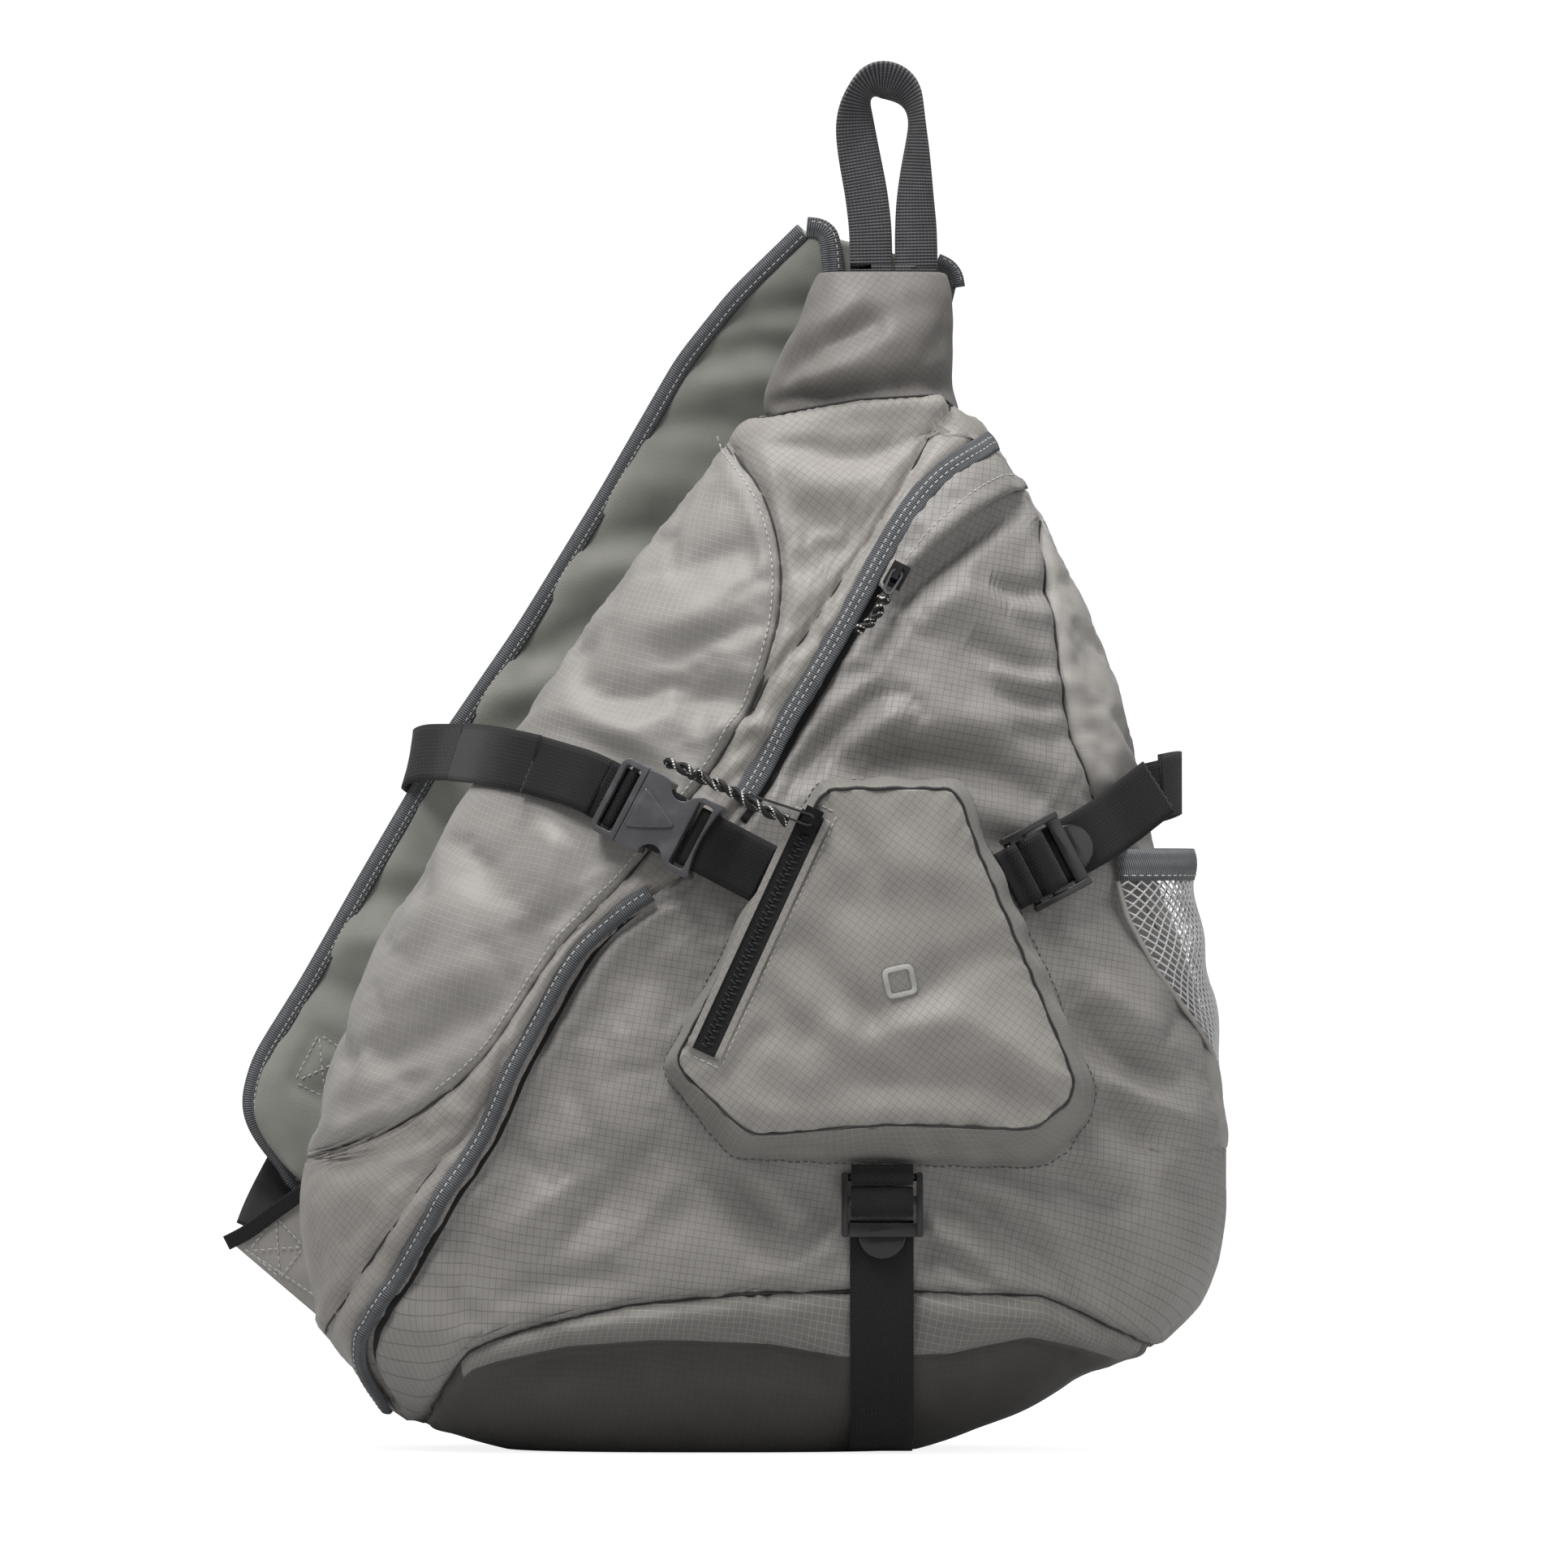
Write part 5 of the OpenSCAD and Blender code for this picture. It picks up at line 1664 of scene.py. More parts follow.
POCKET_MIDDLE = np.array([58.0, 190.0])
FACE_Y = -93.5
FACE_LEAN = 0.035
ZIP_TOP = np.array([34.0, 250.0])
ZIP_FOOT = np.array([-7.0, 161.0])
POCKET_FOLDS = [
    ([[27, 203], [40, 190], [50, 179], [56, 173]], -3.0, 8),
    ([[58, 173], [74, 181], [90, 192], [110, 199]], -2.7, 8),
    ([[12, 186], [22, 175], [32, 166]], -2.0, 6),
    ([[-6, 145], [4, 154], [15, 166]], -2.2, 6),
    ([[50, 168], [72, 170], [92, 172], [112, 162], [130, 147]], 3.0, 9),
    ([[50, 148], [74, 147], [98, 147], [116, 138], [130, 134]], -3.2, 8),
    ([[8, 136], [40, 131], [72, 132], [100, 133]], 2.4, 7),
    ([[20, 158], [34, 150], [46, 150]], 1.6, 8),
    ([[100, 125], [109, 129], [117, 131]], -2.4, 3),
    ([[104, 128], [118, 128], [132, 136]], 1.4, 4),
    ([[46, 250], [54, 240], [58, 232]], -1.4, 6),
    ([[50, 220], [72, 214], [96, 215]], -1.6, 10),
    ([[66, 236], [84, 230], [98, 224]], 1.2, 9),
]
POCKET_STRENGTH = 1.45
POCKET_CROWN = 4.2


def face_depth(x):
    """Depth of the pocket's face plane."""
    return FACE_Y + FACE_LEAN * (x - 45)


def pocket_face_grid():
    """The pocket's face as rings from its middle out to its piped edge."""
    edge = smooth_loop(POCKET_FACE, 4.0, 2.0)
    edge = np.concatenate([edge, edge[:1]])
    shares = np.concatenate([np.linspace(0.02, 0.9, 34), [0.94, 0.97, 0.99, 1.0]])
    flat = rings(POCKET_MIDDLE, edge, shares)
    x, z = flat[..., 0], flat[..., 1]
    zip_gap = nearest(flat, np.linspace(ZIP_FOOT, ZIP_TOP, 60))[0]
    free = (1 - shares[:, None] ** 10) * (1 - np.exp(-((zip_gap / 10) ** 4)))
    crown = POCKET_CROWN * (1 - shares[:, None] ** 3.2)
    rise = crown + np.zeros_like(x)
    rise += POCKET_STRENGTH * free * folds_at(flat, POCKET_FOLDS)
    points = np.stack([x, face_depth(x), z], axis=-1)
    rise += 0.9 * ripples(points, 30, 2.2) + 0.3 * ripples(points, 11, 9.1)
    along = np.arange(len(edge))
    pucker = np.sin(along * 0.9 + 2 * np.sin(along * 0.21))[None, :]
    rise += 0.45 * pucker * bell(1 - shares[:, None], 0.09)
    rise = rise - 1.6 * np.exp(-((zip_gap / 7.5) ** 4))
    points[..., 1] -= rise
    return points, edge


def make_pocket():
    """The zipped front pocket: its face, piping, bulging sides and zip."""
    points, edge = pocket_face_grid()
    uv = points[..., [0, 2]]
    face = slab("front_pocket_face_cloth", points[::-1], 1.5, uv[::-1], wrap=True, cap="last")
    finish_piece(face, "bag", "ripstop", "pocket", "front_pocket_face")
    make_pocket_sides(edge)
    make_pocket_zip()
    make_emblem()


def make_pocket_sides(edge):
    """The gusset from the face's edge to the bag, and the piping along both."""
    foot = smooth_loop(POCKET_FOOT, 4.0, 1.0)
    turn_edge = np.arctan2(edge[:, 1] - POCKET_MIDDLE[1], edge[:, 0] - POCKET_MIDDLE[0])
    turn_foot = np.arctan2(foot[:, 1] - POCKET_MIDDLE[1], foot[:, 0] - POCKET_MIDDLE[0])
    apart = np.angle(np.exp(1j * (turn_edge[:, None] - turn_foot[None, :])))
    foot = foot[np.abs(apart).argmin(axis=1)]
    top = np.stack([edge[:, 0], face_depth(edge[:, 0]) + 0.3, edge[:, 1]], axis=-1)
    base = on_cloth(foot[:, 0], foot[:, 1], 0.4)
    away = unit(edge - POCKET_MIDDLE)
    away = np.stack([away[:, 0], np.zeros(len(away)), away[:, 1]], axis=-1)
    shares = np.linspace(0, 1, 16)
    grid = base[None] + (top - base)[None] * shares[:, None, None]
    along = np.arange(len(edge))
    wave = 0.9 * np.sin(along * 0.5 + 2.2 * np.sin(along * 0.11))
    bulge = np.sin(math.pi * shares)[:, None] * (2.2 + wave)[None, :]
    crease = -1.1 * bell(shares - 0.55, 0.12)[:, None] * (0.6 + 0.5 * np.sin(
        along * 0.23))[None, :]
    grid = grid + away[None] * (bulge + crease)[..., None]
    grid[:, -1] = grid[:, 0]
    run = run_along(edge)
    depth = np.linalg.norm(top - base, axis=1)
    uv = np.stack([np.tile(run, (16, 1)), shares[:, None] * depth[None, :]], axis=-1)
    flip = grid[:, ::-1]
    sides = slab("front_pocket_gusset_cloth", flip, 1.2, uv[:, ::-1], wrap=True)
    finish_piece(sides, "bag", "ripstop", "pocket_side", "front_pocket_gusset")
    pocket_piping("edge", top, away, 1.5, "seam")
    base[:, 1] -= 0.2
    line = pocket_piping("foot", base, away, 2.3, "pocket_side")
    outer = line + away * 2.0
    outer = on_cloth(outer[:, 0], outer[:, 2], 0.3)
    out = constant(line, (0, -1, 0))
    stitches = stitch_row("front_pocket_stitches", outer, out, 3.0, 1.8, 0.25)
    finish_piece(stitches, "bag", "thread", "dark_thread")


def pocket_piping(name, ring, away, thick, paint):
    """Piping round the pocket, not quite even, and the line that it lies on."""
    along = np.arange(len(ring))
    wobble = 0.25 * np.sin(along * 1.1 + np.sin(along * 0.3))
    line = ring + away * (0.5 + wobble)[:, None]
    across = constant(line, (0, 1, 0))
    piping = sweep(f"front_pocket_piping_{name}", line, across, round_profile(thick, 8))
    finish_piece(piping, "bag", "ripstop", paint)
    return line


def on_face(flat, out):
    """Places on the pocket's face plane, moved out from it."""
    flat = np.asarray(flat, float)
    return np.stack([flat[..., 0], face_depth(flat[..., 0]) - out, flat[..., 1]], axis=-1)


ZIP_ALONG = unit(ZIP_TOP - ZIP_FOOT)
ZIP_SIDE = np.array([ZIP_ALONG[1], -ZIP_ALONG[0]])
ZIP_OUT = unit(np.array([FACE_LEAN, -1.0, 0.0]))
TOOTH_PITCH = 1.35
TOOTH_LEAN = 0.9
TOOTH_TURN = 0.22


def make_pocket_zip():
    """The pocket zip: tape, coil teeth, welts and stitches."""
    line = np.linspace(ZIP_FOOT - ZIP_ALONG * 2, ZIP_TOP + ZIP_ALONG * 3, 52)
    across = np.tile(np.array([ZIP_SIDE[0], 0, ZIP_SIDE[1]]), (len(line), 1))
    tape = sweep("front_zip_tape_woven", on_face(line, 1.7), across, strip_profile(11, 0.9))
    finish_piece(tape, "bag", "zip_tape", "tape", "front_zip_tape")
    make_zip_teeth()
    welts = []
    for sign in (-1, 1):
        edge = on_face(line + ZIP_SIDE * sign * 6.0, 2.4)
        welts.append(sweep(f"welt_{sign}", edge, across, strip_profile(2.6, 1.2, 0.5)))
    welt = join_meshes("front_zip_welts", welts)
    finish_piece(welt, "bag", "ripstop", "pocket")
    make_zip_stitches()


def make_zip_teeth():
    """The coil's turns, leaning to each side in turn."""
    places = []
    turned = []
    for k, run in enumerate(np.arange(0.8, np.linalg.norm(ZIP_TOP - ZIP_FOOT) - 6, TOOTH_PITCH)):
        sign = 1 if k % 2 else -1
        places.append(ZIP_FOOT + ZIP_ALONG * run + ZIP_SIDE * TOOTH_LEAN * sign)
        turned.append(ZIP_SIDE + ZIP_ALONG * TOOTH_TURN * sign)
    places = on_face(np.array(places), 2.7)
    turned = np.array([[t[0], 0, t[1]] for t in turned])
    teeth = capsules("front_zip_coil", places, turned, np.tile(ZIP_OUT, (len(places), 1)), 2.9,
                     0.55, 0.9)
    finish_piece(teeth, "bag", "zip_coil", "coil", "front_zip_chain")


def make_zip_stitches():
    """Stitches round the zip's foot, right side and top."""
    foot = ZIP_FOOT - ZIP_ALONG * 5
    top = ZIP_TOP + ZIP_ALONG * 7
    corners = [foot - ZIP_SIDE * 5, foot + ZIP_SIDE * 8.6, top + ZIP_SIDE * 8.6,
               top - ZIP_SIDE * 2]
    rows = []
    for k, (one, two) in enumerate(zip(corners[:-1], corners[1:])):
        path = np.linspace(one, two, 40)
        path = on_face(path, face_height(path) + 0.3)
        rows.append(stitch_row(f"row_{k}", path, np.tile(ZIP_OUT, (len(path), 1))))
    stitches = join_meshes("front_zip_stitches", rows)
    finish_piece(stitches, "bag", "thread", "thread")


EMBLEM_AT = (69, 187)
EMBLEM_TURN = 12


def face_height(flat):
    """How far the pocket's cloth stands out of its plane at places on it."""
    grid = pocket_face_grid()[0].reshape(-1, 3)
    rise = face_depth(grid[:, 0]) - grid[:, 1]
    gaps = ((grid[None, :, [0, 2]] - flat[:, None]) ** 2).sum(axis=-1)
    share = np.exp(-gaps / 3.0)
    return (share * rise).sum(axis=1) / share.sum(axis=1)


def make_emblem():
    """A plain rounded square outline in satin stitch."""
    corner = smooth_loop([[-5.2, -5.2], [5.2, -5.2], [5.2, 5.2], [-5.2, 5.2]], 1.4, 0.5)
    turn = math.radians(EMBLEM_TURN)
    spin = np.array([[math.cos(turn), -math.sin(turn)], [math.sin(turn), math.cos(turn)]])
    flat = corner @ spin.T
    away = unit(flat)
    flat = flat + np.array(EMBLEM_AT)
    places = on_face(flat, face_height(flat) + 0.7)
    along = np.stack([away[:, 0], np.zeros(len(away)), away[:, 1]], axis=-1)
    out = constant(places, FORWARD)
    emblem = capsules("embroidered_outline", places, along, out, 2.3, 0.34, 0.8)
    finish_piece(emblem, "bag", "thread", "thread", "embroidered_patch")


# ---- Mesh pocket ----

MESH_GAP = [[92, 1.3], [134, 1.6], [157, 4], [180, 8.3], [211, 11.5], [242, 16]]
MESH_FRONT = [[92, -4], [140, -2], [157, 6], [175, 18], [190, 26], [211, 32], [242, 34]]
MESH_BACK = -22
MESH_LOW = 90
MESH_HIGH = 228
TRIM_LOW = 226
TRIM_W = 12.5
NET_ROWS = 62
NET_COLS = 41
NET_OUT = 0.6
NET_WIRE = 1.05


def mesh_surface(z, share, out):
    """The mesh pocket's skin at heights and shares from its back edge to its front."""
    start = np.full_like(z, MESH_BACK)
    angle = start + (lookup(z, MESH_FRONT) - start) * share
    swell = np.sin(np.pi * np.clip(share, 0, 1)) ** 0.6
    gap = 1.3 + (lookup(z, MESH_GAP) - 1.3) * swell
    sag = 0.9 * np.sin(z * 0.21 + share * 5) * swell
    return skin(z, angle, gap + out + sag)


def make_mesh_pocket():
    """The open diamond net, its ribbed top edge and its piped front edge."""
    make_net()
    make_mesh_trim()
    heights = np.linspace(MESH_LOW, MESH_HIGH, NET_ROWS)[1:-1]
    edge = mesh_surface(heights, np.ones(NET_ROWS - 2), NET_OUT)
    piping = sweep("mesh_pocket_edge", edge, constant(edge, (0.3, -1, 0)), round_profile(2.2, 8))
    finish_piece(piping, "bag", "ripstop", "gusset")


def make_net():
    """The net: the edges of a grid of diamonds, as round wires."""
    heights, shares = np.meshgrid(np.linspace(MESH_LOW, MESH_HIGH, NET_ROWS),
                                  np.linspace(0, 1, NET_COLS), indexing="ij")
    points = mesh_surface(heights, shares, NET_OUT).reshape(-1, 3)
    faces = []
    for r in range(0, NET_ROWS - 2):
        for c in range(r % 2, NET_COLS - 2, 2):
            low = r * NET_COLS + c + 1
            faces.append([low, (r + 1) * NET_COLS + c, (r + 2) * NET_COLS + c + 1,
                          (r + 1) * NET_COLS + c + 2])
    net = add_object("mesh_pocket_net", points, faces)
    wire = net.modifiers.new("net", "WIREFRAME")
    wire.thickness = NET_WIRE * MM
    wire.use_replace = True
    wire.use_even_offset = False
    wire.use_boundary = True
    bake(net)
    loose = bmesh.new()
    loose.from_mesh(net.data)
    bmesh.ops.delete(loose, geom=[v for v in loose.verts if not v.link_faces], context="VERTS")
    loose.to_mesh(net.data)
    loose.free()
    finish_piece(net, "bag", "mesh", "mesh", "mesh_pocket")


def make_mesh_trim():
    """The ribbed elastic along the net's top, with its stitches."""
    heights, shares = np.meshgrid(np.linspace(TRIM_LOW, TRIM_LOW + TRIM_W, 7),
                                  np.linspace(0, 1, 40), indexing="ij")
    crown = 0.7 * np.sin(math.pi * (heights - TRIM_LOW) / TRIM_W)
    grid = mesh_surface(heights, shares, 1.4 + crown)
    uv = np.stack([heights, np.tile(run_along(grid[3]), (7, 1))], axis=-1)
    trim = slab("mesh_pocket_trim_ribbed", grid, 1.8, uv)
    finish_piece(trim, "bag", "binding", "trim", "mesh_pocket_trim")
    outward = grid_normals(grid)
    row = stitch_row("mesh_trim_stitches", grid[1] + outward[1] * 0.1, outward[1], 3.2, 2.0, 0.3)
    finish_piece(row, "bag", "thread", "thread")


# ---- Grab handle ----

HANDLE_ROUTE = [
    [58.5, 22, 469.6], [58.2, 22, 486], [56.5, 21.5, 500], [54, 21, 513], [52, 20.5, 525],
    [51.8, 20, 534], [53.2, 20, 540.5], [57, 20, 544.8], [63, 20, 546], [70, 20, 543.5],
    [75, 20, 538], [76.9, 20, 530], [76.8, 20.5, 519], [76.3, 21, 508], [76, 21.5, 497],
    [76.3, 22, 486], [76.5, 22, 469.6],
]
# How far the webbing has turned at each station, and how far its inner edge stands up
HANDLE_TURN = [0, 0, 4, 10, 22, 40, 62, 82, 90, 95, 99, 106, 120, 134, 148, 166, 180]
HANDLE_RISE = [0, 0, 0.06, 0.15, 0.15, 0, -0.35, -0.75, -0.9, -0.85, -0.7, -0.4, -0.05, 0.1, 0.1,
               0, 0]
HANDLE_W = 17


def make_handle():
    """The loop of webbing on top, and its two sewn ends."""
    points = np.array(HANDLE_ROUTE, float)
    stations = run_along(points)
    stations /= stations[-1]
    route = smooth_route(points, 1.5, 4)
    run = run_along(route)
    share = run / run[-1]
    turn = np.radians(soften([np.interp(share, stations, HANDLE_TURN)], 3)[0])
    rise = soften([np.interp(share, stations, HANDLE_RISE)], 3)[0]
    flat = np.sqrt(1 - rise**2)
    across = np.stack([np.cos(turn) * flat, np.sin(turn) * flat, rise], axis=-1)
    loop = sweep("grab_handle_webbing", route, across, strip_profile(HANDLE_W, WEBBING_T, 0.0, 6))
    finish_piece(loop, "handle", "handle_webbing", "handle", "grab_handle")
    ends = []
    for x in (58.5, 76.5):
        line = np.linspace([x, 22, 464], [x, 22, 471.6], 5)
        ends.append(sweep(f"end_{x}", line, constant(line, (1, 0, 0)),
                          strip_profile(HANDLE_W, WEBBING_T, 0.0, 6)))
    joined = join_meshes("handle_anchor_webbing", ends)
    finish_piece(joined, "bag", "handle_webbing", "handle", "handle_anchor")


# ---- Shoulder strap ----

PAD_T = 12.0
STRAP_FOLDS = [
    ([[-10, 436], [12, 440], [34, 436]], -2.2, 6),
    ([[-4, 424], [20, 426], [44, 420]], 1.6, 6),
    ([[-26, 410], [0, 410], [24, 402]], -1.8, 6),
    ([[-44, 384], [-16, 384], [14, 372]], 1.4, 8),
    ([[-52, 362], [-28, 366], [0, 358]], -2.0, 7),
    ([[-62, 346], [-40, 352], [-10, 344]], 1.5, 8),
    ([[-76, 318], [-50, 330], [-24, 322]], -2.4, 7),
    ([[-88, 300], [-62, 306], [-36, 296]], 1.6, 8),
    ([[-100, 284], [-74, 290], [-46, 280]], -1.5, 7),
    ([[-140, 222], [-116, 214], [-96, 196]], -2.2, 8),
    ([[-150, 202], [-126, 200], [-104, 184]], 1.8, 7),
    ([[-160, 186], [-140, 176], [-118, 160]], -2.0, 7),
    ([[0, 452], [30, 456], [60, 450]], -2.2, 6),
]
STRAP_STRENGTH = 1.5
# How far the foam reaches from the strap's middle: to the front, to the back and at its edge
CORE_NEAR = 1.5
CORE_FAR = 4.6
CORE_EDGE = 0.3


def strap_grid(rows=190, cols=30):
    """Flat places on the strap from its outer to its inner edge, and how full it is."""
    stations = np.array(STRAP, float)
    run = run_along((stations[:, :2] + stations[:, 2:4]) / 2)
    even = np.linspace(0, run[-1], rows)
    table = soften(sample(run, stations, even).T, 5.0 / (run[-1] / rows))
    share = np.linspace(0, 1, cols)
    x = table[0][:, None] + (table[2] - table[0])[:, None] * share
    z = table[1][:, None] + (table[3] - table[1])[:, None] * share
    y = np.repeat(table[4][:, None], cols, axis=1)
    full = np.sqrt(np.maximum(1 - np.abs(2 * share - 1) ** 3.4, 0.02))
    return x, y, z, np.tile(full, (rows, 1)), even


def strap_points(sign):
    """Points of one face of the padded strap, wrinkled across its length."""
    x, y, z, full, run = strap_grid()
    rise = full * (PAD_T / 2)
    places = np.stack([x, z], axis=-1)
    if sign < 0:
        rise = rise + STRAP_STRENGTH * full * folds_at(places, STRAP_FOLDS)
        gap = nearest(places, smooth_table(STRAP_BOX + STRAP_BOX[:1], 1, step=1.5))[0]
        rise = rise - 1.6 * full * bell(gap, 3.5)
    points = np.stack([x, y, z], axis=-1)
    rise = rise + full * (0.8 * ripples(points, 24, 4.4 * sign) + 0.25 * ripples(points, 9, 2.0))
    points[..., 1] += sign * np.maximum(rise, 0.9)
    return points, run


def strap_layer(name, node, sign, paint, slot):
    """One face of the padded strap."""
    points, run = strap_points(sign)
    cols = points.shape[1]
    width = np.linalg.norm(points[:, -1] - points[:, 0], axis=1)
    uv = np.stack([np.linspace(0, 1, cols)[None, :] * width[:, None],
                   np.repeat(run[:, None], cols, axis=1)], axis=-1)
    if facing_wrong(points, sign):
        points, uv = points[:, ::-1], uv[:, ::-1]
    layer = slab(name, points, 0.8, uv)
    return finish_piece(layer, "shoulder_strap", slot, paint, node)


def lining_y(x, z):
    """Depth of the strap's lining at places seen from the front."""
    points = strap_points(-1)[0].reshape(-1, 3)
    index = nearest(np.stack([x, z], axis=-1), points[:, [0, 2]])[1]
    return points[np.asarray(index, int), 1] - 0.25


def facing_wrong(grid, sign):
    """Whether a grid's normals look away from the side that it stands for."""
    return grid_normals(grid)[..., 1].mean() * sign < 0


def make_strap():
    """The padded strap: lining, foam, cover, binding and stitches."""
    lining = strap_layer("strap_lining_cloth", "strap_lining", -1, "lining", "lining")
    cover = strap_layer("strap_cover_cloth", "strap_cover", 1, "front", "ripstop")
    x, y, z, full = strap_grid(110, 18)[:4]
    near = np.stack([x, y - np.maximum(full * CORE_NEAR, CORE_EDGE), z], axis=-1)
    far = np.stack([x, y + np.maximum(full * CORE_FAR, CORE_EDGE), z], axis=-1)
    make_core(near, far)
    make_strap_binding()


def make_core(near, far):
    """The foam inside, as one closed piece between two grids."""
    rows = len(near)
    middle = (near + far) / 2
    inner = 0.97
    keep = middle.mean(axis=1, keepdims=True)
    near = keep + (near - keep) * inner
    far = keep + (far - keep) * inner
    ring = np.concatenate([near, far[:, ::-1]], axis=1)
    count = ring.shape[1]
    faces = []
    for r in range(rows - 1):
        for i in range(count):
            j = (i + 1) % count
            faces.append([r * count + i, (r + 1) * count + i, (r + 1) * count + j, r * count + j])
    faces.append(list(range(count)))
    faces.append([(rows - 1) * count + i for i in range(count - 1, -1, -1)])
    core = add_object("strap_foam_core", ring.reshape(-1, 3), faces)
    fix = bmesh.new()
    fix.from_mesh(core.data)
    bmesh.ops.recalc_face_normals(fix, faces=fix.faces)
    fix.to_mesh(core.data)
    fix.free()
    finish_piece(core, "shoulder_strap", "foam", "inner", "strap_foam")


def flat_stitches(name, lines, y_of, body):
    """Rows of stitches along straight lines of [x, z] on a face seen from the front."""
    rows = []
    for k, (start, end) in enumerate(lines):
        share = np.linspace(0, 1, 24)[:, None]
        flat = np.array(start) + (np.array(end) - np.array(start)) * share
        line = np.stack([flat[:, 0], y_of(flat[:, 0], flat[:, 1]), flat[:, 1]], axis=-1)
        rows.append(stitch_row(f"{name}_{k}", line, constant(line, FORWARD), 2.8, 1.9, 0.3))
    return finish_piece(join_meshes(name, rows), body, "thread", "thread")


# The sewn box on the strap's lining and the sewn diamond on its wing, as [x, height]
STRAP_BOX = [[-163.5, 163.5], [-150, 155], [-161, 138], [-173.4, 144.3]]
WING_BOX = [[-191, 77], [-180.3, 90.5], [-169, 78.6], [-178.4, 65.8]]


def boxed(corners):
    """The lines of a box with a cross in it."""
    sides = [(corners[k], corners[(k + 1) % 4]) for k in range(4)]
    return sides + [(corners[0], corners[2]), (corners[1], corners[3])]


def make_strap_top():
    """The binding that folds over the strap's top edge and shows again at its right tip."""
    fold = [[33, 43.5, 487], [38, 42.6, 486.6], [41.5, 41.6, 484], [42.6, 41.2, 478],
            [43.4, 41, 468]]
    tip = [[85, 42, 473.6], [89.5, 41.6, 471.6], [92.4, 41.6, 468], [93.2, 42, 463]]
    rows = []
    for k, (line, width) in enumerate(((fold, 8.4), (tip, 6.0))):
        route = smooth_route(line, 1.2, 1.5)
        tangent = unit(np.gradient(route, axis=0))
        across = unit(np.cross(constant(route, FORWARD), tangent))
        strip = sweep(f"strap_top_binding_{k}", route, across, strip_profile(width, 1.6, 0.7))
        finish_piece(strip, "shoulder_strap", "binding", "binding")
        edge, face = offset_route(route, across, width * 0.3, 1.3)
        rows.append(stitch_row(f"top_row_{k}", edge, face, *FINE_STITCH))
    stitches = join_meshes("strap_top_stitches", rows)
    finish_piece(stitches, "shoulder_strap", "thread", "thread")
    flat_stitches("strap_box_stitches", boxed(STRAP_BOX), lining_y, "shoulder_strap")


def make_strap_binding():
    """The ribbed binding folded round the strap's edge, with two rows of stitches."""
    x, y, z = strap_grid()[:3]
    outer = np.stack([x[:, 0], y[:, 0], z[:, 0]], axis=-1)
    inner = np.stack([x[:, -1], y[:, -1], z[:, -1]], axis=-1)
    end = smooth_route([outer[-1], (outer[-1] + inner[-1]) / 2 + [-1.5, 0, -3], inner[-1]], 2.0, 1)
    rim = np.concatenate([outer, end[1:-1], inner[::-1]])
    rim = smooth_route(rim, 2.0, 2)
    tangent = unit(np.gradient(rim, axis=0))
    inward = unit(np.cross(tangent, np.array([0.0, 1.0, 0.0])))
    centre = (outer.mean(axis=0) + inner.mean(axis=0)) / 2
    if ((centre - rim[40]) * inward[40]).sum() < 0:
        inward = -inward
    profile = [(-2.6, 1.8), (0.4, 2.4), (4.2, 3.2), (4.4, 2.2), (1.5, 0.6), (1.5, -0.6),
               (4.4, -2.2), (4.2, -3.2), (0.4, -2.4), (-2.6, -1.8), (-3.1, 0)]
    strip = sweep("strap_binding_ribbed", rim, inward, profile)
    finish_piece(strip, "shoulder_strap", "binding", "binding", "strap_binding")
    rows = []
    front = constant(rim, FORWARD)
    for k, side in enumerate((1.9, 3.4)):
        line = rim + inward * side + front * (2.75 + 0.15 * k)
        rows.append(stitch_row(f"row_{k}", line, front, *FINE_STITCH))
    stitches = join_meshes("strap_binding_stitches", rows)
    finish_piece(stitches, "shoulder_strap", "thread", "thread")


WING_Y = 58.6
WING_SWELL = 1.3
WING = [[-199, 81], [-167, 104], [-140, 104], [-136, 47], [-159, 47]]


def make_wing():
    """The triangular tab that the strap's webbing is sewn into."""
    edge = smooth_loop(WING, 2.0, 1.5)
    edge = np.concatenate([edge, edge[:1]])
    middle = edge[:-1].mean(axis=0)
    shares = np.concatenate([np.linspace(0.03, 0.9, 14), [0.96, 1.0]])
    flat = rings(middle, edge, shares)
    swell = WING_SWELL * (1 - shares[:, None] ** 4)
    y = np.full(flat.shape[:2], WING_Y) - swell
    points = np.stack([flat[..., 0], y, flat[..., 1]], axis=-1)
    points[..., 1] += 0.4 * ripples(points, 12, 3.0)
    wing = slab("strap_wing_cloth", points[::-1], 2.2, points[::-1][..., [0, 2]], wrap=True,
                cap="last")
    finish_piece(wing, "bag", "ripstop", "gusset", "strap_wing")
    edges = [([-194, 78.5], [-154, 52]), ([-192, 84], [-168, 101])]
    face = WING_Y - WING_SWELL - 0.4
    flat_stitches("strap_wing_stitches", boxed(WING_BOX) + edges, lambda x, z: x * 0 + face, "bag")
    line = smooth_route([[-200, 57.6, 80], [-192, 56.8, 84], [-180, 56.4, 93], [-166, 56.4, 103]],
                        1.5, 3)
    strip = sweep("strap_wing_tape", line, constant(line, (-0.63, 0, 0.78)), strip_profile(6, 1.2))
    finish_piece(strip, "bag", "webbing", "webbing")


# ---- Webbing runs ----


def flat_run(name, points, across, width, spread=None):
    """A flat run of webbing through points."""
    route = smooth_route(points, 1.6, spread)
    return sweep(name, route, constant(route, across), strip_profile(width, WEBBING_T, 0.0, 8))


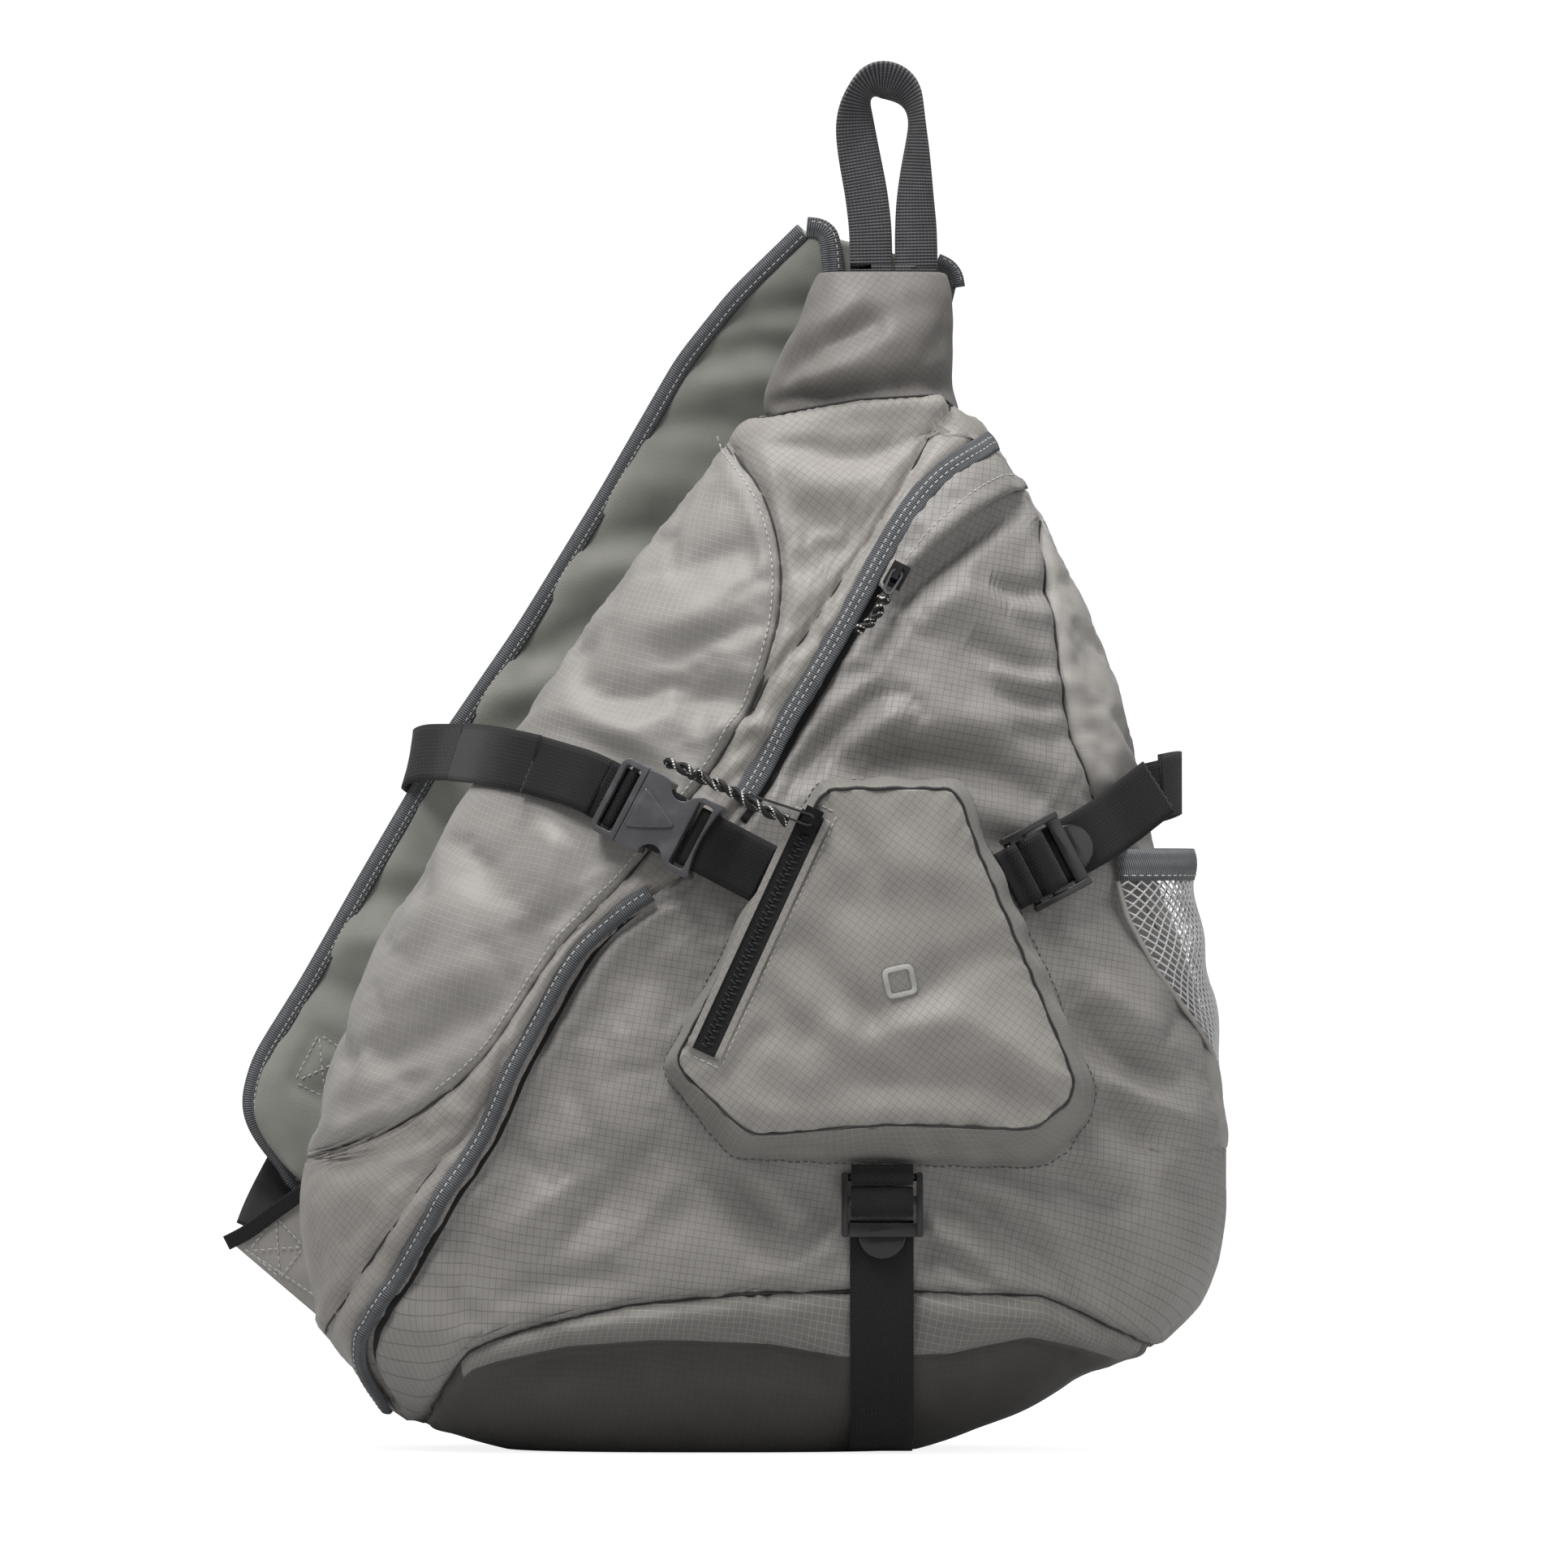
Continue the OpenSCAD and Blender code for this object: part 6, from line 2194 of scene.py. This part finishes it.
STRAP_LOCK = Matrix.Translation(Vector((-160, 98.6, 137))) @ Matrix.Rotation(
    math.radians(-90), 4, "X") @ Matrix.Rotation(math.radians(118), 4, "Z")
LOCK_LIFT = 5.6
RIGHT_LOCK = facing_matrix(cad_on_front(116, 228, LOCK_LIFT), 27, 14, -6)
BOTTOM_LOCK = facing_matrix(cad_on_front(62, 110, LOCK_LIFT), 270)
BUCKLE = facing_matrix(cad_on_front(-24, 249, 4.2), 153, -12, -6)


def at(matrix, x, height):
    """A point of a drawing, on its own X axis at a height above it."""
    return place(matrix, [[x, 0.0, height]])[0]


def crossing_run(name, node, points, across, width, spread=None):
    """Webbing that crosses a joint, blended between two places from one body to the other."""
    strip = flat_run(name, points, across, width, spread)
    strip.data.materials.append(PAINTS["webbing"])
    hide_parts(node)
    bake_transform(strip)


def make_webbing():
    """The compression strap, the strap's webbing and the bottom strap."""
    points = [at(BUCKLE, 27.8, 0.3), at(BUCKLE, 35, 0.1), [-64, -49, 268.5], [-76, -41.5, 272]]
    crossing_run("buckle_strap_webbing", "buckle_strap", points, (0.42, 0.1, 0.9), 24)
    points = [[-75, -42, 271.8], [-87, -31, 274.5], [-96, -14, 276], [-101, 8, 276.5],
              [-107, 40, 277]]
    crossing_run("strap_crossing_webbing", "strap_crossing", points, (0.3, 0, 1), 24)
    points = [[-106, 39, 277], [-114, 60, 277], [-123, 74, 277], [-129, 84, 274],
              [-123, 92, 270], [-111, 95, 266.5], [-101, 96, 263.5]]
    wrap = flat_run("strap_wrap_webbing", points, (0.2, 0, 1), 23)
    finish_piece(wrap, "shoulder_strap", "webbing", "webbing", "strap_wrap")
    points = [[-102, 96, 263.6], [-97, 96, 262], [-50, 94, 256], [0, 93, 252], [50, 91, 250],
              [90, 85, 251], [130, 73, 254], [160, 58, 258], [178, 38, 262], [183, 15, 265],
              [180, -10, 265], [173, -24, 263.5]]
    crossing_run("rear_strap_webbing", "rear_strap", points, (0, 0.1, 1), 25,
                 12)
    points = [at(RIGHT_LOCK, 16, -3), at(RIGHT_LOCK, 24, -3.2), at(RIGHT_LOCK, 34, -4),
              [157, -38, 251.5], [164, -33, 257], [172, -25.5, 263]]
    crossing_run("right_strap_webbing", "right_strap", points, (-0.463, -0.02, 0.886), 24)
    points = [cad_on_front(62, z, 2.2) for z in (93, 84, 76, 66, 54, 42)]
    points += [cad_on_front(62, 30, 3), cad_on_front(62, 20, 4), cad_on_front(62, 12, 5)]
    points += [[62, -46, 5.5], [62, -38, 2.2], [62, -30, 0.9], [62, 0, 0.9], [62, 30, 0.9]]
    crossing_run("bottom_strap_webbing", "bottom_strap", points, (1, 0, 0), 25,
                 4)
    points = [[-186, 63.5, 84], [-184, 72, 90], [-181, 84, 97], [-177, 92, 105],
              [-172.2, 95.1, 114], [-167.6, 95.6, 122.8]]
    crossing_run("strap_webbing_run", "strap_webbing", points, (-0.88, 0, 0.47), 22)


# ---- Ladder locks and the buckle ----

LOOP_W = WEBBING_W - 0.8
LOCK_LEN = 21.0
INNER_HALF = WEBBING_W / 2 + 0.9
RAIL_W = 2.6
LOCK_T = 4.4
BAR_R = 1.6
RAIL_FROM = -1.9
RAIL_PAST = 2.5
MIDDLE_BAR = (7.4, 10.8)
TAB_R = 9.4


def loop_band(name, node, body, matrix, side_view):
    """Webbing that loops in a lock's or buckle's side view: pairs of x and height."""
    route = smooth_route([[x, 0, h] for x, h in side_view], 0.9, 0.9)
    route = place(matrix, route)
    across = constant(route, direction(matrix, (0, 1, 0)))
    band = sweep(name, route, across, strip_profile(LOOP_W, WEBBING_T, 0.0, 8))
    return finish_piece(band, body, "webbing", "webbing", node)


def bar(name, matrix, x, height, radius, half):
    """A round bar across a lock."""
    line = place(matrix, np.linspace([x, -half, height], [x, half, height], 6))
    across = constant(line, direction(matrix, (1, 0, 0)))
    return sweep(name, line, across, round_profile(2 * radius, 16))


def ladder_lock(name, node, body, matrix):
    """A three-bar ladder lock with a rounded thumb tab."""
    parts = []
    for side in (-1, 1):
        low = side * (INNER_HALF + RAIL_W / 2) - RAIL_W / 2
        high = low + RAIL_W
        outline = rounded([(RAIL_FROM, low), (LOCK_LEN + RAIL_PAST, low),
                           (LOCK_LEN + RAIL_PAST, high), (RAIL_FROM, high)], 1.0)
        parts.append(plate(f"rail_{side}", outline, -LOCK_T / 2, LOCK_T / 2, matrix, bevel=0.7))
    parts.append(bar("anchor", matrix, 0, 0, BAR_R, INNER_HALF + 0.5))
    half = INNER_HALF + 0.5
    middle = box_line(*MIDDLE_BAR, half, 0.4)
    parts.append(plate("middle", middle, -1.2, 1.2, matrix, bevel=0.7))
    end = box_line(LOCK_LEN - 3, LOCK_LEN + RAIL_PAST, half, 0.6)
    parts.append(plate("end", end, -LOCK_T / 2, 1.0, matrix, bevel=0.9))
    reach = LOCK_LEN + 2
    tab = [(reach + TAB_R * math.cos(a) - 0.2, TAB_R * math.sin(a))
           for a in np.linspace(-math.pi / 2, math.pi / 2, 22)]
    parts.append(plate("tab", tab, -LOCK_T / 2, -LOCK_T / 2 + 2, matrix, bevel=0.8))
    lock = join_meshes(name, parts)
    return finish_piece(lock, body, "buckle_plastic", "plastic", node)


LOCK_LOOP = [(15.0, -3.8), (15.0, -2.2), (14.3, 0.9), (12.4, 2.6), (11, 2.9), (7, 2.9), (5.6, 2.2),
             (4.9, 0), (4.5, -2.8)]
ANCHOR_RING = 2.7


def anchor_loop(length):
    """The side view of webbing that goes round the anchor bar and back."""
    turn = np.radians(np.linspace(165, -165, 16))
    ring = [(ANCHOR_RING * math.cos(a), ANCHOR_RING * math.sin(a)) for a in turn]
    return [(-length, 0.75), (-ANCHOR_RING - 1.2, 0.8)] + ring + [
        (-ANCHOR_RING - 1.2, -0.8), (-length, -0.75)
    ]


def make_locks():
    """The three ladder locks with the webbing in them."""
    rows = (("right", RIGHT_LOCK, "right_lock", 7), ("bottom", BOTTOM_LOCK, "bottom_lock", 5),
            ("strap", STRAP_LOCK, "strap_lock", 20))
    for name, matrix, body, length in rows:
        ladder_lock(f"{name}_ladder_lock_moulded", f"{name}_ladder_lock", body, matrix)
        loop_band(f"{name}_lock_band", f"{name}_lock_webbing", body, matrix, LOCK_LOOP)
        anchor_body = "shoulder_strap" if name == "strap" else "bag"
        loop_band(f"{name}_anchor_band", f"{name}_anchor_webbing", anchor_body, matrix,
                  anchor_loop(length))


BUCKLE_W = 32.0
BUCKLE_T = 10.0
MOUTH_X = 11.0
TAIL_X = -22.5


def female_outline():
    """The receiver seen from above: concave grips and a concave webbing end."""
    half = BUCKLE_W / 2
    upper = [(MOUTH_X, half - 0.6), (MOUTH_X - 0.8, half), (3, half - 0.2), (0.2, half - 0.9)]
    for a in np.linspace(0.16, 0.84, 9):
        turn = math.pi * a
        upper.append((-4.6 + 5.6 * math.cos(turn), half + 0.6 - 6.6 * math.sin(turn)))
    upper += [(-11.2, half - 1.4), (-13.4, half - 0.2), (TAIL_X + 1.5, half), (TAIL_X, half - 1.2)]
    tail = []
    for y in np.linspace(half - 1.4, -half + 1.4, 15):
        tail.append((TAIL_X + 2.6 * (1 - (y / half) ** 2), y))
    lower = [(x, -y) for x, y in upper[::-1]]
    return upper + tail[1:-1] + lower


def make_buckle():
    """The side-release buckle in its receiver, plug, prongs and webbing."""
    half = BUCKLE_W / 2
    mouth = [(-10.5, -12.8), (MOUTH_X + 2, -12.8), (MOUTH_X + 2, 12.8), (-10.5, 12.8)]
    slot = box_line(-19, -12.6, INNER_HALF, 1.0)
    body = plate("receiver", female_outline(), 0, BUCKLE_T, BUCKLE,
                 holes=[(mouth, 2, BUCKLE_T - 2), (slot, -1, BUCKLE_T + 1)], bevel=2.2,
                 segments=4)
    spade = []
    for a in np.linspace(-1, 1, 25):
        reach = 1 - abs(a)
        spade.append((9.4 - 17.5 * reach ** 0.8, 8.6 * math.copysign(abs(a) ** 0.6, a)
                      * (0.55 + 0.45 * abs(a))))
    pad = plate("pad", spade[::-1], BUCKLE_T - 0.6, BUCKLE_T + 1.1, BUCKLE, bevel=1.1,
                segments=5)
    receiver = join_meshes("buckle_female_moulded", [body, pad])
    finish_piece(receiver, "bag", "buckle_plastic", "buckle", "buckle_female")
    low = MOUTH_X + 0.4
    frame_line = rounded([(low, -half), (low + 9.4, -half), (low + 11.4, -half + 2.4),
                          (low + 11.4, half - 2.4), (low + 9.4, half), (low, half)], 1.0)
    gap = box_line(MOUTH_X + 3, MOUTH_X + 9.6, INNER_HALF, 1.0)
    shell = plate("plug", frame_line, 1, BUCKLE_T - 1, BUCKLE, holes=[(gap, 0, BUCKLE_T)],
                  bevel=0.9)
    rod_line = box_line(MOUTH_X + 5, MOUTH_X + 7.6, INNER_HALF + 0.4, 0.3)
    rod = plate("rod", rod_line, 3.4, 6, BUCKLE, bevel=0.5)
    tongue_line = box_line(-7, low + 0.3, 2, 0.8)
    tongue = plate("tongue", tongue_line, 3, BUCKLE_T - 3, BUCKLE, bevel=0.3)
    plug = join_meshes("buckle_male_moulded", [shell, rod, tongue])
    finish_piece(plug, "buckle_male", "buckle_plastic", "buckle", "buckle_male")
    for side, name in ((-1, "prong_upper"), (1, "prong_lower")):
        outline = [(MOUTH_X + 0.1, side * 8.6), (MOUTH_X + 0.1, side * 11.4), (1, side * 11.8),
                   (-1, side * 12.5), (-6, side * 12.5), (-9.6, side * 9.4), (-8, side * 7.8),
                   (-2, side * 9.2)]
        arm = plate(f"{name}_moulded", rounded(outline, 0.6), 3, BUCKLE_T - 3, BUCKLE, bevel=0.3)
        finish_piece(arm, name, "buckle_plastic", "plastic", name)
    loop_band("female_webbing_loop", "female_webbing", "bag", BUCKLE,
              [(-48, 3.6), (-34, 2.1), (-24, 0.9), (-15, 0.9), (-14.1, 1.9), (-14.1, 5.2),
               (-15.4, 6.7), (-24, 6.7), (-34, 3.9), (-48, 5.4)])
    loop_band("male_webbing_loop", "male_webbing", "buckle_male", BUCKLE,
              [(28, 0.25), (20.4, 0.25), (19.3, 1.4), (19.3, 6.0), (18, 7.0), (16.4, 7.0),
               (15.4, 6.0), (15.4, 2.2)])


# ---- Model nodes that keep their own shape ----

KEPT = {
    "main_zip_slider": "metal", "front_zip_slider": "metal", "main_pull_wire": "wire",
    "front_pull_wire": "wire", "back_foam": "inner",
}


def node_object(name):
    """The object of one of the model's own nodes."""
    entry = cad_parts[name]
    return entry if isinstance(entry, bpy.types.Object) else bpy.data.objects[name]


def paint_kept():
    """Better materials on the nodes that stay as they are."""
    for name, paint in KEPT.items():
        obj = node_object(name)
        for slot in obj.material_slots:
            slot.material = PAINTS[paint]


def make_all():
    """Everything in the scene, in order."""
    add_stage()
    make_cords()
    make_shell()
    make_main_zip()
    make_seam_stitches()
    make_pocket()
    make_mesh_pocket()
    make_handle()
    make_strap()
    make_strap_top()
    make_wing()
    make_webbing()
    make_locks()
    make_buckle()
    paint_kept()


make_all()
